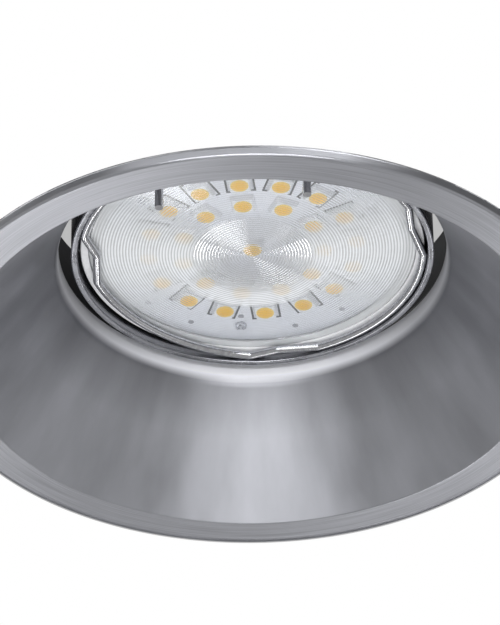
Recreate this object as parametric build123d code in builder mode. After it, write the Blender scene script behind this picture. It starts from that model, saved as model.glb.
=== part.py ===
"""Recessed ceiling downlight with a deep cone, a tilting lamp ring and spring clips.

Millimetres. The light looks down: +Z points up into the ceiling, and the origin is the
centre of the flange's room-side face.
"""

import math
import os

from build123d import *

os.makedirs("parts", exist_ok=True)

# Fits
running_clearance = 0.05
seat_gap = 0.1
side_gap = 0.2
press_gap = 0.02

# Trim: flange, cone, neck and collar
flange_width = 5.2
flange_thickness = 1.7
flange_edge_round = 0.45
flange_land = 4.0
mouth_edge_round = 0.3
cone_spread = 13.25
cone_wall = 1.3
throat_gap = 1.85
throat_corner_height = 17.05
neck_round = 4.0
neck_height = 3.0
lip_round = 0.9
spigot_height = 3.0
collar_gap = 4.3
collar_wall = 1.5
collar_rise = 5.3
collar_edge = 0.3
pad_half_width = 13.5
pad_depth = 1.2
pad_height = 16.0
pad_root = 1.0

# Lamp ring and its pivots
ring_clearance = 0.4
ring_wall = 0.9
ring_setback = 1.15
ring_height = 12.3
ring_edge_round = 0.25
shoulder_width = 1.8
shoulder_thickness = 1.0
pivot_rise = 2.2
pivot_radius = 2.0
pivot_neck_radius = 1.6
pivot_flange_radius = 3.0
pivot_flange_thickness = 1.0
pivot_end_length = 1.1
spacer_radius = 3.2
retainer_radius = 3.6
retainer_thickness = 0.7

# Retaining wire
wire_radius = 0.6
wire_setback = 0.8
wire_gap_azimuth = -96.7
wire_gap_half_angle = 28.6
kink_azimuths = (-14.0, 81.5, 181.0)
kink_reaches = (1.8, 1.8, 2.8)
kink_step_angles = (15.0, 10.0, 10.5)
kink_run_angles = (11.5, 14.5, 15.5)
kink_corner_round = 1.3
slack_azimuth = 140.0
slack_reach = 2.3
slack_end_reach = 1.9
finger_bend_radius = 1.6
finger_drop = 7.7

# Lamp
lamp_radius = 24.9
rim_thickness = 4.55
lens_rim_width = 1.3
lens_recess = 0.1
lens_thickness = 0.5
lens_bulge = 1.1
lens_land = 0.8
lens_seat_width = 0.7
board_gap = 0.3
board_thickness = 1.6
led_side = 3.5
led_height = 0.75
led_gap = 0.7
phosphor_radius = 1.3
phosphor_height = 0.12
outer_led_inset = 7.45
outer_led_count = 16
outer_led_azimuth = 83.5
led_ring_pitch = 4.8
inner_led_count = 11
inner_led_azimuth = -97.0
board_screw_inset = 3.6
board_screw_azimuth = 95.7
board_screw_count = 3
board_screw_radius = 0.7
board_screw_head_radius = 1.1
board_screw_head_height = 0.5
board_screw_depth = 2.2

# Heat sink, driver and base
sink_gap = 0.4
sink_floor = 3.2
sink_height = 21.8
sink_top_radius = 13.2
sink_bow = 1.8
core_wall = 1.6
cavity_radius = 9.6
fin_count = 20
fin_slot_width = 2.2
fin_slot_rise = 4.8
base_skirt_height = 6.0
base_neck_step = 2.8
base_neck_height = 9.5
base_taper_height = 4.5
base_wall = 1.5
base_spigot_height = 2.0
base_spigot_wall = 0.75
driver_width = 16.0
driver_thickness = 1.2
driver_length = 27.0
capacitor_radius = 3.2
capacitor_length = 10.0
capacitor_offset = 3.2
choke_radius = 3.4
choke_length = 6.0
bridge_side = 5.0
bridge_height = 1.8
pin_spacing = 10.0
pin_neck_radius = 1.6
pin_neck_length = 4.3
pin_head_radius = 2.5
pin_head_height = 2.8
pin_root = 3.0

# Lampholder
twist_angle = 40.0
slot_clearance = 0.25
holder_gap = 0.2
holder_lip = 1.0
holder_wall = 2.0
holder_plate = 3.8
contact_thickness = 0.8
contact_width = 4.2
contact_gap = 0.2
tail_width = 3.0
tail_thickness = 1.0
tail_length = 8.6
tail_clearance = 0.2
back_plate = 4.0
back_spigot = 1.9
terminal_side = 7.0
terminal_offset = 6.0
terminal_lead_radius = 0.75
terminal_lead_depth = 1.8
terminal_screw_depth = 2.3
terminal_screw_radius = 1.4
terminal_screw_head_radius = 2.2
terminal_screw_head_height = 1.2
cover_height = 12.5
cover_wall = 1.4
cover_top = 1.8
cover_edge_round = 1.5
cover_screw_inset = 4.6
cover_screw_radius = 1.2
cover_screw_head_radius = 2.3
cover_screw_head_height = 1.4
cover_screw_depth = 3.0
cover_post_radius = 2.6
inlet_bore_radius = 3.2
inlet_neck_radius = 4.9
inlet_flange_radius = 6.2
inlet_lower_flange = 1.0
inlet_upper_flange = 1.2

# Spring clips
sheet = 1.2
bracket_inset = 0.5
bracket_drop = 1.3
bracket_height = 14.3
bracket_corner = 2.4
ear_inner = 6.8
ear_radius = 3.0
ear_root_half_height = 4.2
hinge_offset = 3.2
hinge_drop = 5.5
hinge_radius = 1.5
hinge_head_radius = 2.3
hinge_head_height = 1.0
bracket_screw_inset = 2.4
bracket_screw_drop = 8.5
bracket_screw_radius = 1.3
bracket_screw_head_radius = 2.0
bracket_screw_head_height = 1.3
bracket_screw_depth = 3.2
drive_slot_width = 0.7
drive_slot_depth = 0.6
arm_slope = 30.0
lug_radius = 2.9
arm_plate_height = 0.8
arm_plate_start = 4.0
arm_cheek_length = 14.0
arm_shoulder = 16.5
arm_length = 29.0
tongue_half_width = 3.5
heel_reach = 2.95
heel_top = 1.7
heel_bottom = 2.5
heel_inset = 2.1
sleeve_start = 19.5
sleeve_wall = 1.4
sleeve_edge_round = 1.2
coil_radius = 2.6
coil_wire_radius = 0.5
coil_pitch = 1.7
coil_turns = 4
coil_fixed_leg = 5.5
coil_arm_leg = 8.5

# Worked out from the values above
ring_inner_radius = lamp_radius + ring_clearance
ring_outer_radius = ring_inner_radius + ring_wall
throat_radius = ring_outer_radius + throat_gap
mouth_radius = throat_radius + cone_spread
flange_radius = mouth_radius + flange_width
spigot_radius = flange_radius - flange_land
collar_inner_radius = ring_outer_radius + collar_gap
collar_outer_radius = collar_inner_radius + collar_wall
neck_top = throat_corner_height + neck_height
lip_top = neck_top + lip_round
ring_front = throat_corner_height + ring_setback
wire_height = ring_front + wire_setback
finger_tip_height = wire_height - finger_drop
rim_front = wire_height + wire_radius + running_clearance
rim_back = rim_front + rim_thickness
shoulder_radius = ring_inner_radius - shoulder_width
shoulder_front = rim_back + seat_gap
pivot_height = shoulder_front + pivot_rise
collar_top = pivot_height + collar_rise
cone_slope = (mouth_radius - throat_radius) / throat_corner_height
cone_angle = math.atan(cone_slope)
pad_face = collar_outer_radius + pad_depth
pad_bottom = collar_top - collar_edge - pad_height
lens_radius = lamp_radius - lens_rim_width
cup_radius = lens_radius - lens_seat_width
board_radius = cup_radius - board_gap
outer_led_radius = board_radius - outer_led_inset
inner_led_radius = outer_led_radius - led_ring_pitch
board_screw_circle = board_radius - board_screw_inset
lens_front = rim_front + lens_recess
lens_back = lens_front + lens_thickness
lens_dome_radius = lens_radius - lens_land
lens_face = lens_front - lens_bulge
lens_face_back = lens_face + lens_thickness
phosphor_front = lens_face_back + led_gap
led_front = phosphor_front + phosphor_height
board_front = led_front + led_height
board_back = board_front + board_thickness
sink_floor_top = board_back + sink_floor
sink_shoulder_radius = shoulder_radius - sink_gap
sink_top = rim_back + sink_height
fin_slot_bottom = rim_back + fin_slot_rise
base_radius = sink_top_radius
base_neck_radius = base_radius - base_neck_step
core_radius = cavity_radius + core_wall
base_end = sink_top + base_skirt_height + base_taper_height + base_neck_height
pin_head_bottom = base_end + pin_neck_length
pin_head_top = pin_head_bottom + pin_head_height
holder_radius = base_radius + holder_lip
holder_bottom = base_end + holder_gap
holder_plate_top = holder_bottom + holder_plate
contact_bottom = pin_head_top + contact_gap
contact_top = contact_bottom + contact_thickness
back_bottom = contact_top + back_spigot
back_top = back_bottom + back_plate
cover_end = back_top + cover_height
cover_screw_offset = holder_radius - cover_screw_inset
bracket_half_width = pad_half_width - bracket_inset
bracket_top = collar_top - bracket_drop
bracket_bottom = bracket_top - bracket_height
bracket_screw_offset = bracket_half_width - bracket_screw_inset
bracket_screw_height = bracket_top - bracket_screw_drop
hinge_height = bracket_top - hinge_drop
foot_face = pad_face + sheet
hinge_x = foot_face + hinge_offset
lug_outer = ear_inner - side_gap
lug_inner = lug_outer - sheet
arm_plate_top = arm_plate_height + sheet


def corner_at(sketch, x, y):
    """The vertex of a sketch that lies nearest to a point of its plane."""
    return sketch.vertices().sort_by_distance((x, y, 0))[0]


def outer_cone_radius(height):
    """Radius of the cone's outer wall at a height."""
    return mouth_radius + cone_wall / math.cos(cone_angle) - height * cone_slope


def save(builder, name):
    """Label a finished piece and write it under its own name."""
    builder.part.label = name
    export_step(builder.part, f"parts/{name}.step")


def along_y(y, x=0.0, z=0.0):
    """Plane at a point, with its normal along +Y."""
    return Plane((x, y, z), x_dir=(1, 0, 0), z_dir=(0, 1, 0))


def along_x(x, y=0.0, z=0.0):
    """Plane at a point, with its normal along +X."""
    return Plane((x, y, z), x_dir=(0, 1, 0), z_dir=(1, 0, 0))


# Trim: one casting of flange, cone, neck lip and collar, with a flat pad for each clip
cone_meets_collar = (outer_cone_radius(0) - collar_outer_radius) / cone_slope
spigot_top = flange_thickness + spigot_height
with BuildPart() as trim_cone:
    with BuildSketch(Plane.XZ) as trim_profile:
        with BuildLine():
            Polyline(
                (mouth_radius, 0),
                (flange_radius, 0),
                (flange_radius, flange_thickness),
                (spigot_radius, flange_thickness),
                (spigot_radius, spigot_top),
                (outer_cone_radius(spigot_top), spigot_top),
                (collar_outer_radius, cone_meets_collar),
                (collar_outer_radius, collar_top),
                (collar_inner_radius, collar_top),
                (collar_inner_radius, lip_top),
                (throat_radius, lip_top),
                (throat_radius, throat_corner_height),
                close=True,
            )
        make_face()
        fillet(corner_at(trim_profile, mouth_radius, 0), mouth_edge_round)
        fillet(corner_at(trim_profile, flange_radius, 0), flange_edge_round)
        fillet(corner_at(trim_profile, flange_radius, flange_thickness), flange_edge_round)
        fillet(corner_at(trim_profile, throat_radius, throat_corner_height), neck_round)
        fillet(corner_at(trim_profile, throat_radius, lip_top), lip_round)
        chamfer(corner_at(trim_profile, collar_outer_radius, collar_top), collar_edge)
        chamfer(corner_at(trim_profile, collar_inner_radius, collar_top), collar_edge)
    revolve(axis=Axis.Z)
    with BuildSketch(Plane.XY.offset(pad_bottom)):
        Rectangle(2 * pad_face, 2 * pad_half_width)
        Circle(collar_outer_radius - pad_root, mode=Mode.SUBTRACT)
    extrude(amount=pad_height)
    with BuildSketch(along_y(-collar_outer_radius, z=pivot_height)):
        Circle(pivot_radius + running_clearance)
    extrude(amount=2 * collar_outer_radius, mode=Mode.SUBTRACT)
    for side in (-1, 1):
        with BuildSketch(along_x(side * pad_face, z=bracket_screw_height)):
            with Locations((-bracket_screw_offset, 0), (bracket_screw_offset, 0)):
                Circle(bracket_screw_radius + press_gap)
        extrude(amount=-side * (bracket_screw_depth + seat_gap), mode=Mode.SUBTRACT)
save(trim_cone, "trim_cone")

# Lamp ring: thin band with an inner shoulder that the lamp's rim seats on
with BuildPart() as lamp_ring:
    with BuildSketch(Plane.XZ) as ring_profile:
        with Locations((ring_inner_radius, ring_front)):
            Rectangle(ring_wall, ring_height, align=Align.MIN)
        with Locations((shoulder_radius, shoulder_front)):
            Rectangle(ring_inner_radius - shoulder_radius, shoulder_thickness, align=Align.MIN)
        fillet(corner_at(ring_profile, ring_inner_radius, ring_front), ring_edge_round)
        fillet(corner_at(ring_profile, ring_outer_radius, ring_front), ring_edge_round)
    revolve(axis=Axis.Z)
    with BuildSketch(along_y(-ring_outer_radius, z=pivot_height)):
        Circle(pivot_neck_radius + press_gap)
    extrude(amount=2 * ring_outer_radius, mode=Mode.SUBTRACT)
save(lamp_ring, "lamp_ring")

# Pivots: shouldered studs riveted in the ring, with a spacer and a push-on retainer on each
spacer_start = ring_outer_radius + pivot_flange_thickness
spacer_end = math.sqrt(collar_inner_radius**2 - spacer_radius**2) - seat_gap
retainer_start = collar_outer_radius + seat_gap
pivot_end = retainer_start + retainer_thickness + pivot_end_length
with BuildPart() as pivot_studs:
    for turn in (0, 180):
        with BuildSketch(Plane.YZ.rotated((0, 0, turn))) as stud_profile:
            with Locations((0, pivot_height)):
                with Locations((ring_inner_radius, 0)):
                    Rectangle(ring_wall, pivot_neck_radius, align=Align.MIN)
                with Locations((ring_outer_radius, 0)):
                    Rectangle(pivot_flange_thickness, pivot_flange_radius, align=Align.MIN)
                with Locations((spacer_start, 0)):
                    Rectangle(pivot_end - spacer_start, pivot_radius, align=Align.MIN)
        revolve(axis=Axis((0, 0, pivot_height), (0, 1, 0)))
save(pivot_studs, "pivot_studs")

with BuildPart() as pivot_spacers:
    for side in (-1, 1):
        with BuildSketch(along_y(side * spacer_start, z=pivot_height)):
            Circle(spacer_radius)
            Circle(pivot_radius + running_clearance, mode=Mode.SUBTRACT)
        extrude(amount=side * (spacer_end - spacer_start))
save(pivot_spacers, "pivot_spacers")

with BuildPart() as pivot_retainers:
    for side in (-1, 1):
        with BuildSketch(along_y(side * retainer_start, z=pivot_height)):
            Circle(retainer_radius)
            Circle(pivot_radius + press_gap, mode=Mode.SUBTRACT)
        extrude(amount=side * retainer_thickness)
save(pivot_retainers, "pivot_retainers")


# Retaining wire: an open hoop with three inward kinks and two fingers bent down.
# Past the second kink the hoop is slack and runs flatter than the ring.
def polar(radius, azimuth, height=wire_height):
    """Point at a radius and an azimuth in degrees."""
    angle = math.radians(azimuth)
    return (radius * math.cos(angle), radius * math.sin(angle), height)


hoop_radius = ring_inner_radius - wire_radius - running_clearance
hoop_start = wire_gap_azimuth + wire_gap_half_angle
hoop_end = wire_gap_azimuth + 360 - wire_gap_half_angle
kink_runs = [azimuth - run for azimuth, run in zip(kink_azimuths, kink_run_angles)]
kink_steps = [azimuth + step for azimuth, step in zip(kink_azimuths, kink_step_angles)]
run_radii = (hoop_radius, hoop_radius, ring_inner_radius - slack_end_reach)
corners = [
    (
        polar(run_radius, run),
        polar(ring_inner_radius - reach, azimuth),
        polar(hoop_radius, step),
    )
    for run_radius, run, reach, azimuth, step in zip(
        run_radii, kink_runs, kink_reaches, kink_azimuths, kink_steps
    )
]
slack = polar(ring_inner_radius - slack_reach, slack_azimuth)
with BuildLine() as hoop:
    CenterArc((0, 0, wire_height), hoop_radius, hoop_start, kink_runs[0] - hoop_start)
    Polyline(*corners[0])
    CenterArc((0, 0, wire_height), hoop_radius, kink_steps[0], kink_runs[1] - kink_steps[0])
    Polyline(*corners[1])
    ThreePointArc(corners[1][2], slack, corners[2][0])
    Polyline(*corners[2])
    CenterArc((0, 0, wire_height), hoop_radius, kink_steps[2], hoop_end - kink_steps[2])
hoop_wire = hoop.wires()[0]
hoop_bends = [
    hoop_wire.vertices().sort_by_distance(corner)[0] for kink in corners for corner in kink
]
hoop_wire = hoop_wire.fillet_2d(kink_corner_round, hoop_bends)
wire_edges = list(hoop_wire.edges())
for azimuth, sign in ((hoop_start, -1), (hoop_end, 1)):
    start = Vector(*polar(hoop_radius, azimuth))
    ahead = Vector(*polar(sign, azimuth + 90, 0))
    low = start + ahead * finger_bend_radius - Vector(0, 0, finger_bend_radius)
    wire_edges.append(Edge.make_tangent_arc(start, ahead, low))
    wire_edges.append(Edge.make_line(low, Vector(low.X, low.Y, finger_tip_height)))
wire_path = Wire(wire_edges)
with BuildPart() as retaining_wire:
    with BuildSketch(Plane(wire_path @ 0, z_dir=wire_path % 0)):
        Circle(wire_radius)
    sweep(path=wire_path)
save(retaining_wire, "retaining_wire")

# Lamp lens: thin round cover in the lamp's rim, bowed out to a low dome
with BuildPart() as lamp_lens:
    with BuildSketch(Plane.XZ):
        with BuildLine():
            TangentArc((0, lens_face), (lens_dome_radius, lens_front), tangent=(1, 0))
            Polyline(
                (lens_dome_radius, lens_front),
                (lens_radius, lens_front),
                (lens_radius, lens_back),
                (lens_dome_radius, lens_back),
            )
            TangentArc((0, lens_face_back), (lens_dome_radius, lens_back), tangent=(1, 0))
            Line((0, lens_face_back), (0, lens_face))
        make_face()
    revolve(axis=Axis.Z)
save(lamp_lens, "lamp_lens")

# LED board with its LEDs, their yellow windows and its screws
with BuildPart() as led_board:
    with BuildSketch(Plane.XY.offset(board_front)):
        Circle(board_radius)
        with PolarLocations(board_screw_circle, board_screw_count, board_screw_azimuth):
            Circle(board_screw_radius + press_gap, mode=Mode.SUBTRACT)
    extrude(amount=board_thickness)
save(led_board, "led_board")

led_rings = (
    (outer_led_radius, outer_led_count, outer_led_azimuth),
    (inner_led_radius, inner_led_count, inner_led_azimuth),
)
with BuildPart() as led_packages:
    with BuildSketch(Plane.XY.offset(led_front)):
        Rectangle(led_side, led_side)
        for radius, count, azimuth in led_rings:
            with PolarLocations(radius, count, azimuth):
                Rectangle(led_side, led_side)
    extrude(amount=led_height)
save(led_packages, "led_packages")

with BuildPart() as led_phosphors:
    with BuildSketch(Plane.XY.offset(phosphor_front)):
        Circle(phosphor_radius)
        for radius, count, azimuth in led_rings:
            with PolarLocations(radius, count, azimuth):
                Circle(phosphor_radius)
    extrude(amount=phosphor_height)
save(led_phosphors, "led_phosphors")

with BuildPart() as board_screws:
    with BuildSketch(Plane.XY.offset(board_front - board_screw_head_height)):
        with PolarLocations(board_screw_circle, board_screw_count, board_screw_azimuth):
            Circle(board_screw_head_radius)
    extrude(amount=board_screw_head_height)
    with BuildSketch(Plane.XY.offset(board_front)):
        with PolarLocations(board_screw_circle, board_screw_count, board_screw_azimuth):
            Circle(board_screw_radius)
    extrude(amount=board_thickness + board_screw_depth)
save(board_screws, "board_screws")

# Lamp body: rim, cup for the board and a finned sink round the driver's cavity
sink_middle = ((sink_shoulder_radius + sink_top_radius) / 2 + sink_bow, (rim_back + sink_top) / 2)
with BuildPart() as lamp_body:
    with BuildSketch(Plane.XZ):
        with BuildLine():
            Polyline(
                (sink_top_radius, sink_top),
                (cavity_radius, sink_top),
                (cavity_radius, sink_floor_top),
                (0, sink_floor_top),
                (0, board_back),
                (cup_radius, board_back),
                (cup_radius, lens_back),
                (lens_radius + seat_gap, lens_back),
                (lens_radius + seat_gap, rim_front),
                (lamp_radius, rim_front),
                (lamp_radius, rim_back),
                (sink_shoulder_radius, rim_back),
            )
            ThreePointArc((sink_shoulder_radius, rim_back), sink_middle, (sink_top_radius, sink_top))
        make_face()
    revolve(axis=Axis.Z)
    with BuildSketch(Plane.XY.offset(fin_slot_bottom)):
        with PolarLocations(core_radius, fin_count):
            Rectangle(
                sink_shoulder_radius,
                fin_slot_width,
                align=(Align.MIN, Align.CENTER),
            )
    extrude(amount=sink_top - fin_slot_bottom, mode=Mode.SUBTRACT)
    with BuildSketch(Plane.XY.offset(board_back)):
        with PolarLocations(board_screw_circle, board_screw_count, board_screw_azimuth):
            Circle(board_screw_radius + press_gap)
    extrude(amount=board_screw_depth + seat_gap, mode=Mode.SUBTRACT)
save(lamp_body, "lamp_body")

# Driver: a small board on edge in the cavity, with its parts on the two faces
driver_bottom = sink_floor_top + seat_gap
driver_half = driver_thickness / 2
with BuildPart() as driver_board:
    with BuildSketch(along_y(-driver_half)):
        with Locations((0, -driver_bottom)):
            Rectangle(driver_width, driver_length, align=(Align.CENTER, Align.MAX))
    extrude(amount=driver_thickness)
save(driver_board, "driver_board")

capacitor_height = driver_bottom + driver_length - capacitor_length
with BuildPart() as driver_capacitor:
    with BuildSketch(Plane.XY.offset(capacitor_height)):
        with Locations((-capacitor_offset, driver_half + capacitor_radius + seat_gap)):
            Circle(capacitor_radius)
    extrude(amount=capacitor_length)
save(driver_capacitor, "driver_capacitor")

with BuildPart() as driver_choke:
    with BuildSketch(along_y(driver_half + seat_gap, z=driver_bottom + 2 * choke_radius)):
        Circle(choke_radius)
    extrude(amount=choke_length)
save(driver_choke, "driver_choke")

with BuildPart() as driver_bridge:
    with BuildSketch(along_y(-driver_half - seat_gap, z=driver_bottom + driver_length / 2)):
        Rectangle(bridge_side, bridge_side)
    extrude(amount=-bridge_height)
save(driver_bridge, "driver_bridge")

# Lamp base: hollow plastic plug with two headed pins
taper_bottom = sink_top + base_skirt_height
neck_bottom = taper_bottom + base_taper_height
base_spigot_radius = cavity_radius - seat_gap
with BuildPart() as lamp_base:
    with BuildSketch(Plane.XZ):
        with BuildLine():
            Polyline(
                (0, base_end),
                (base_neck_radius, base_end),
                (base_neck_radius, neck_bottom),
                (base_radius, taper_bottom),
                (base_radius, sink_top),
                (base_spigot_radius, sink_top),
                (base_spigot_radius, sink_top - base_spigot_height),
                (base_spigot_radius - base_spigot_wall, sink_top - base_spigot_height),
                (base_spigot_radius - base_spigot_wall, base_end - base_wall - pin_root),
                (0, base_end - base_wall - pin_root),
                close=True,
            )
        make_face()
    revolve(axis=Axis.Z)
    with BuildSketch(Plane.XY.offset(base_end)):
        with GridLocations(pin_spacing, 1, 2, 1):
            Circle(pin_neck_radius + press_gap)
    extrude(amount=-pin_root, mode=Mode.SUBTRACT)
save(lamp_base, "lamp_base")

with BuildPart() as base_pins:
    with BuildSketch(Plane.XY.offset(base_end - pin_root)):
        with GridLocations(pin_spacing, 1, 2, 1):
            Circle(pin_neck_radius)
    extrude(amount=pin_root + pin_neck_length)
    with BuildSketch(Plane.XY.offset(pin_head_bottom)):
        with GridLocations(pin_spacing, 1, 2, 1):
            Circle(pin_head_radius)
    extrude(amount=pin_head_height)
save(base_pins, "base_pins")

# Lampholder front: ceramic cup whose plate has two curved slots with wide entry holes
pin_circle = pin_spacing / 2
with BuildPart() as holder_front:
    with BuildSketch(Plane.XY.offset(holder_bottom)):
        Circle(holder_radius)
    extrude(amount=back_bottom - holder_bottom)
    with BuildSketch(Plane.XY.offset(holder_plate_top)):
        Circle(holder_radius - holder_wall)
    extrude(amount=back_bottom - holder_plate_top, mode=Mode.SUBTRACT)
    with BuildSketch(Plane.XY.offset(holder_bottom)):
        for turn in (0, 180):
            with BuildLine(mode=Mode.PRIVATE):
                travel = CenterArc((0, 0), pin_circle, turn - twist_angle, twist_angle)
            SlotArc(travel, 2 * (pin_neck_radius + slot_clearance))
        with PolarLocations(pin_circle, 2, -twist_angle):
            Circle(pin_head_radius + slot_clearance)
    extrude(amount=holder_plate, mode=Mode.SUBTRACT)
save(holder_front, "holder_front")

# Lampholder back: plug that holds the contacts down and carries the terminals
with BuildPart() as holder_back:
    with BuildSketch(Plane.XY.offset(contact_top)):
        Circle(holder_radius - holder_wall - seat_gap)
    extrude(amount=back_spigot)
    with BuildSketch(Plane.XY.offset(back_bottom)):
        Circle(holder_radius)
    extrude(amount=back_plate)
    with BuildSketch(Plane.XY.offset(contact_top)):
        with GridLocations(pin_spacing, 1, 2, 1):
            Rectangle(tail_thickness + 2 * tail_clearance, tail_width + 2 * tail_clearance)
    extrude(amount=back_top - contact_top, mode=Mode.SUBTRACT)
    with BuildSketch(Plane.XY.offset(back_top)):
        with GridLocations(1, 2 * cover_screw_offset, 1, 2):
            Circle(cover_screw_radius + press_gap)
    extrude(amount=-(cover_screw_depth + seat_gap), mode=Mode.SUBTRACT)
save(holder_back, "holder_back")

# Contacts: curved leaves over the pin heads, each with a tail up to its terminal
with BuildPart() as holder_contacts:
    with BuildSketch(Plane.XY.offset(contact_bottom)):
        for turn in (0, 180):
            with BuildLine(mode=Mode.PRIVATE):
                leaf = CenterArc((0, 0), pin_circle, turn - twist_angle, twist_angle)
            SlotArc(leaf, contact_width)
    extrude(amount=contact_thickness)
    with BuildSketch(Plane.XY.offset(contact_top)):
        with GridLocations(pin_spacing, 1, 2, 1):
            Rectangle(tail_thickness, tail_width)
    extrude(amount=tail_length)
save(holder_contacts, "holder_contacts")

# Terminals: brass blocks round the tails, each with a lead hole and a clamping screw
terminal_height = back_top + terminal_side / 2 + seat_gap
with BuildPart() as terminal_blocks:
    with BuildSketch(Plane.XY.offset(back_top + seat_gap)):
        with GridLocations(2 * terminal_offset, 1, 2, 1):
            Rectangle(terminal_side, terminal_side)
        with GridLocations(pin_spacing, 1, 2, 1):
            Rectangle(
                tail_thickness + 2 * tail_clearance,
                tail_width + 2 * tail_clearance,
                mode=Mode.SUBTRACT,
            )
    extrude(amount=terminal_side)
    for side in (-1, 1):
        terminal_face = side * (terminal_offset + terminal_side / 2)
        with BuildSketch(along_x(terminal_face, z=terminal_height)):
            Circle(terminal_screw_radius + press_gap)
        extrude(amount=-side * terminal_screw_depth, mode=Mode.SUBTRACT)
    with BuildSketch(along_y(-terminal_side / 2, z=terminal_height)):
        with GridLocations(2 * terminal_offset + terminal_side - 2 * terminal_screw_depth, 1, 2, 1):
            Circle(terminal_lead_radius)
    extrude(amount=terminal_lead_depth, mode=Mode.SUBTRACT)
save(terminal_blocks, "terminal_blocks")

with BuildPart() as terminal_screws:
    for side in (-1, 1):
        terminal_face = side * (terminal_offset + terminal_side / 2)
        with BuildSketch(along_x(terminal_face, z=terminal_height)):
            Circle(terminal_screw_radius)
        extrude(amount=-side * (terminal_screw_depth - seat_gap))
        with BuildSketch(along_x(terminal_face, z=terminal_height)):
            Circle(terminal_screw_head_radius)
        extrude(amount=side * terminal_screw_head_height)
save(terminal_screws, "terminal_screws")

# Cover: plastic cap over the terminals, with two screw posts and the cable inlet
with BuildPart() as holder_cover:
    with BuildSketch(Plane.XY.offset(back_top)):
        Circle(holder_radius)
    extrude(amount=cover_height)
    fillet(holder_cover.edges().group_by(Axis.Z)[-1], cover_edge_round)
    with BuildSketch(Plane.XY.offset(back_top)):
        Circle(holder_radius - cover_wall)
        with GridLocations(1, 2 * cover_screw_offset, 1, 2):
            Circle(cover_post_radius, mode=Mode.SUBTRACT)
    extrude(amount=cover_height - cover_top, mode=Mode.SUBTRACT)
    with BuildSketch(Plane.XY.offset(back_top)):
        Circle(inlet_neck_radius + press_gap)
        with GridLocations(1, 2 * cover_screw_offset, 1, 2):
            Circle(cover_screw_radius + seat_gap)
    extrude(amount=cover_height, mode=Mode.SUBTRACT)
save(holder_cover, "holder_cover")

with BuildPart() as cover_screws:
    with BuildSketch(Plane.XY.offset(back_top - cover_screw_depth)):
        with GridLocations(1, 2 * cover_screw_offset, 1, 2):
            Circle(cover_screw_radius)
    extrude(amount=cover_screw_depth + cover_height)
    with BuildSketch(Plane.XY.offset(cover_end)):
        with GridLocations(1, 2 * cover_screw_offset, 1, 2):
            Circle(cover_screw_head_radius)
    extrude(amount=cover_screw_head_height)
    with BuildSketch(Plane.XY.offset(cover_end + cover_screw_head_height)):
        with GridLocations(1, 2 * cover_screw_offset, 1, 2):
            Rectangle(2 * cover_screw_head_radius, drive_slot_width)
    extrude(amount=-drive_slot_depth, mode=Mode.SUBTRACT)
save(cover_screws, "cover_screws")

grommet_bottom = cover_end - cover_top - inlet_lower_flange
with BuildPart() as inlet_grommet:
    with BuildSketch(Plane.XY.offset(grommet_bottom)):
        Circle(inlet_flange_radius)
    extrude(amount=inlet_lower_flange)
    with BuildSketch(Plane.XY.offset(cover_end - cover_top)):
        Circle(inlet_neck_radius)
    extrude(amount=cover_top)
    with BuildSketch(Plane.XY.offset(cover_end)):
        Circle(inlet_flange_radius)
    extrude(amount=inlet_upper_flange)
    with BuildSketch(Plane.XY.offset(grommet_bottom)):
        Circle(inlet_bore_radius)
    extrude(amount=inlet_lower_flange + cover_top + inlet_upper_flange, mode=Mode.SUBTRACT)
save(inlet_grommet, "inlet_grommet")

# Clip bracket: foot on the trim's pad with two ears for the hinge pin
with BuildPart() as clip_bracket_right:
    with BuildSketch(along_x(pad_face, z=(bracket_top + bracket_bottom) / 2)):
        RectangleRounded(2 * bracket_half_width, bracket_top - bracket_bottom, bracket_corner)
    extrude(amount=sheet)
    with BuildSketch(along_x(pad_face, z=bracket_screw_height)):
        with Locations((-bracket_screw_offset, 0), (bracket_screw_offset, 0)):
            Circle(bracket_screw_radius + seat_gap)
    extrude(amount=sheet, mode=Mode.SUBTRACT)
    for side in (-1, 1):
        with BuildSketch(along_y(side * ear_inner, x=hinge_x, z=hinge_height)):
            with BuildLine():
                CenterArc((0, 0), ear_radius, 0, 360)
                Line((-hinge_offset, -ear_root_half_height), (-hinge_offset, ear_root_half_height))
            make_hull()
            Circle(hinge_radius + press_gap, mode=Mode.SUBTRACT)
        extrude(amount=side * sheet)
save(clip_bracket_right, "clip_bracket_right")

with BuildPart() as bracket_screws:
    for side in (-1, 1):
        with BuildSketch(along_x(side * foot_face, z=bracket_screw_height)):
            with Locations((-bracket_screw_offset, 0), (bracket_screw_offset, 0)):
                Circle(bracket_screw_radius)
        extrude(amount=-side * (sheet + bracket_screw_depth))
        with BuildSketch(along_x(side * foot_face, z=bracket_screw_height)):
            with Locations((-bracket_screw_offset, 0), (bracket_screw_offset, 0)):
                Circle(bracket_screw_head_radius)
        extrude(amount=side * bracket_screw_head_height)
        screw_crown = side * (foot_face + bracket_screw_head_height)
        with BuildSketch(along_x(screw_crown, z=bracket_screw_height)):
            with Locations((-bracket_screw_offset, 0), (bracket_screw_offset, 0)):
                Rectangle(2 * bracket_screw_head_radius, drive_slot_width)
        extrude(amount=-side * drive_slot_depth, mode=Mode.SUBTRACT)
save(bracket_screws, "bracket_screws")

ear_outer = ear_inner + sheet
with BuildPart() as hinge_pin_right:
    with BuildSketch(along_y(-ear_outer, x=hinge_x, z=hinge_height)):
        Circle(hinge_radius)
    extrude(amount=2 * ear_outer)
    for side in (-1, 1):
        with BuildSketch(along_y(side * ear_outer, x=hinge_x, z=hinge_height)):
            Circle(hinge_head_radius)
        extrude(amount=side * hinge_head_height)
save(hinge_pin_right, "hinge_pin_right")

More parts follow.
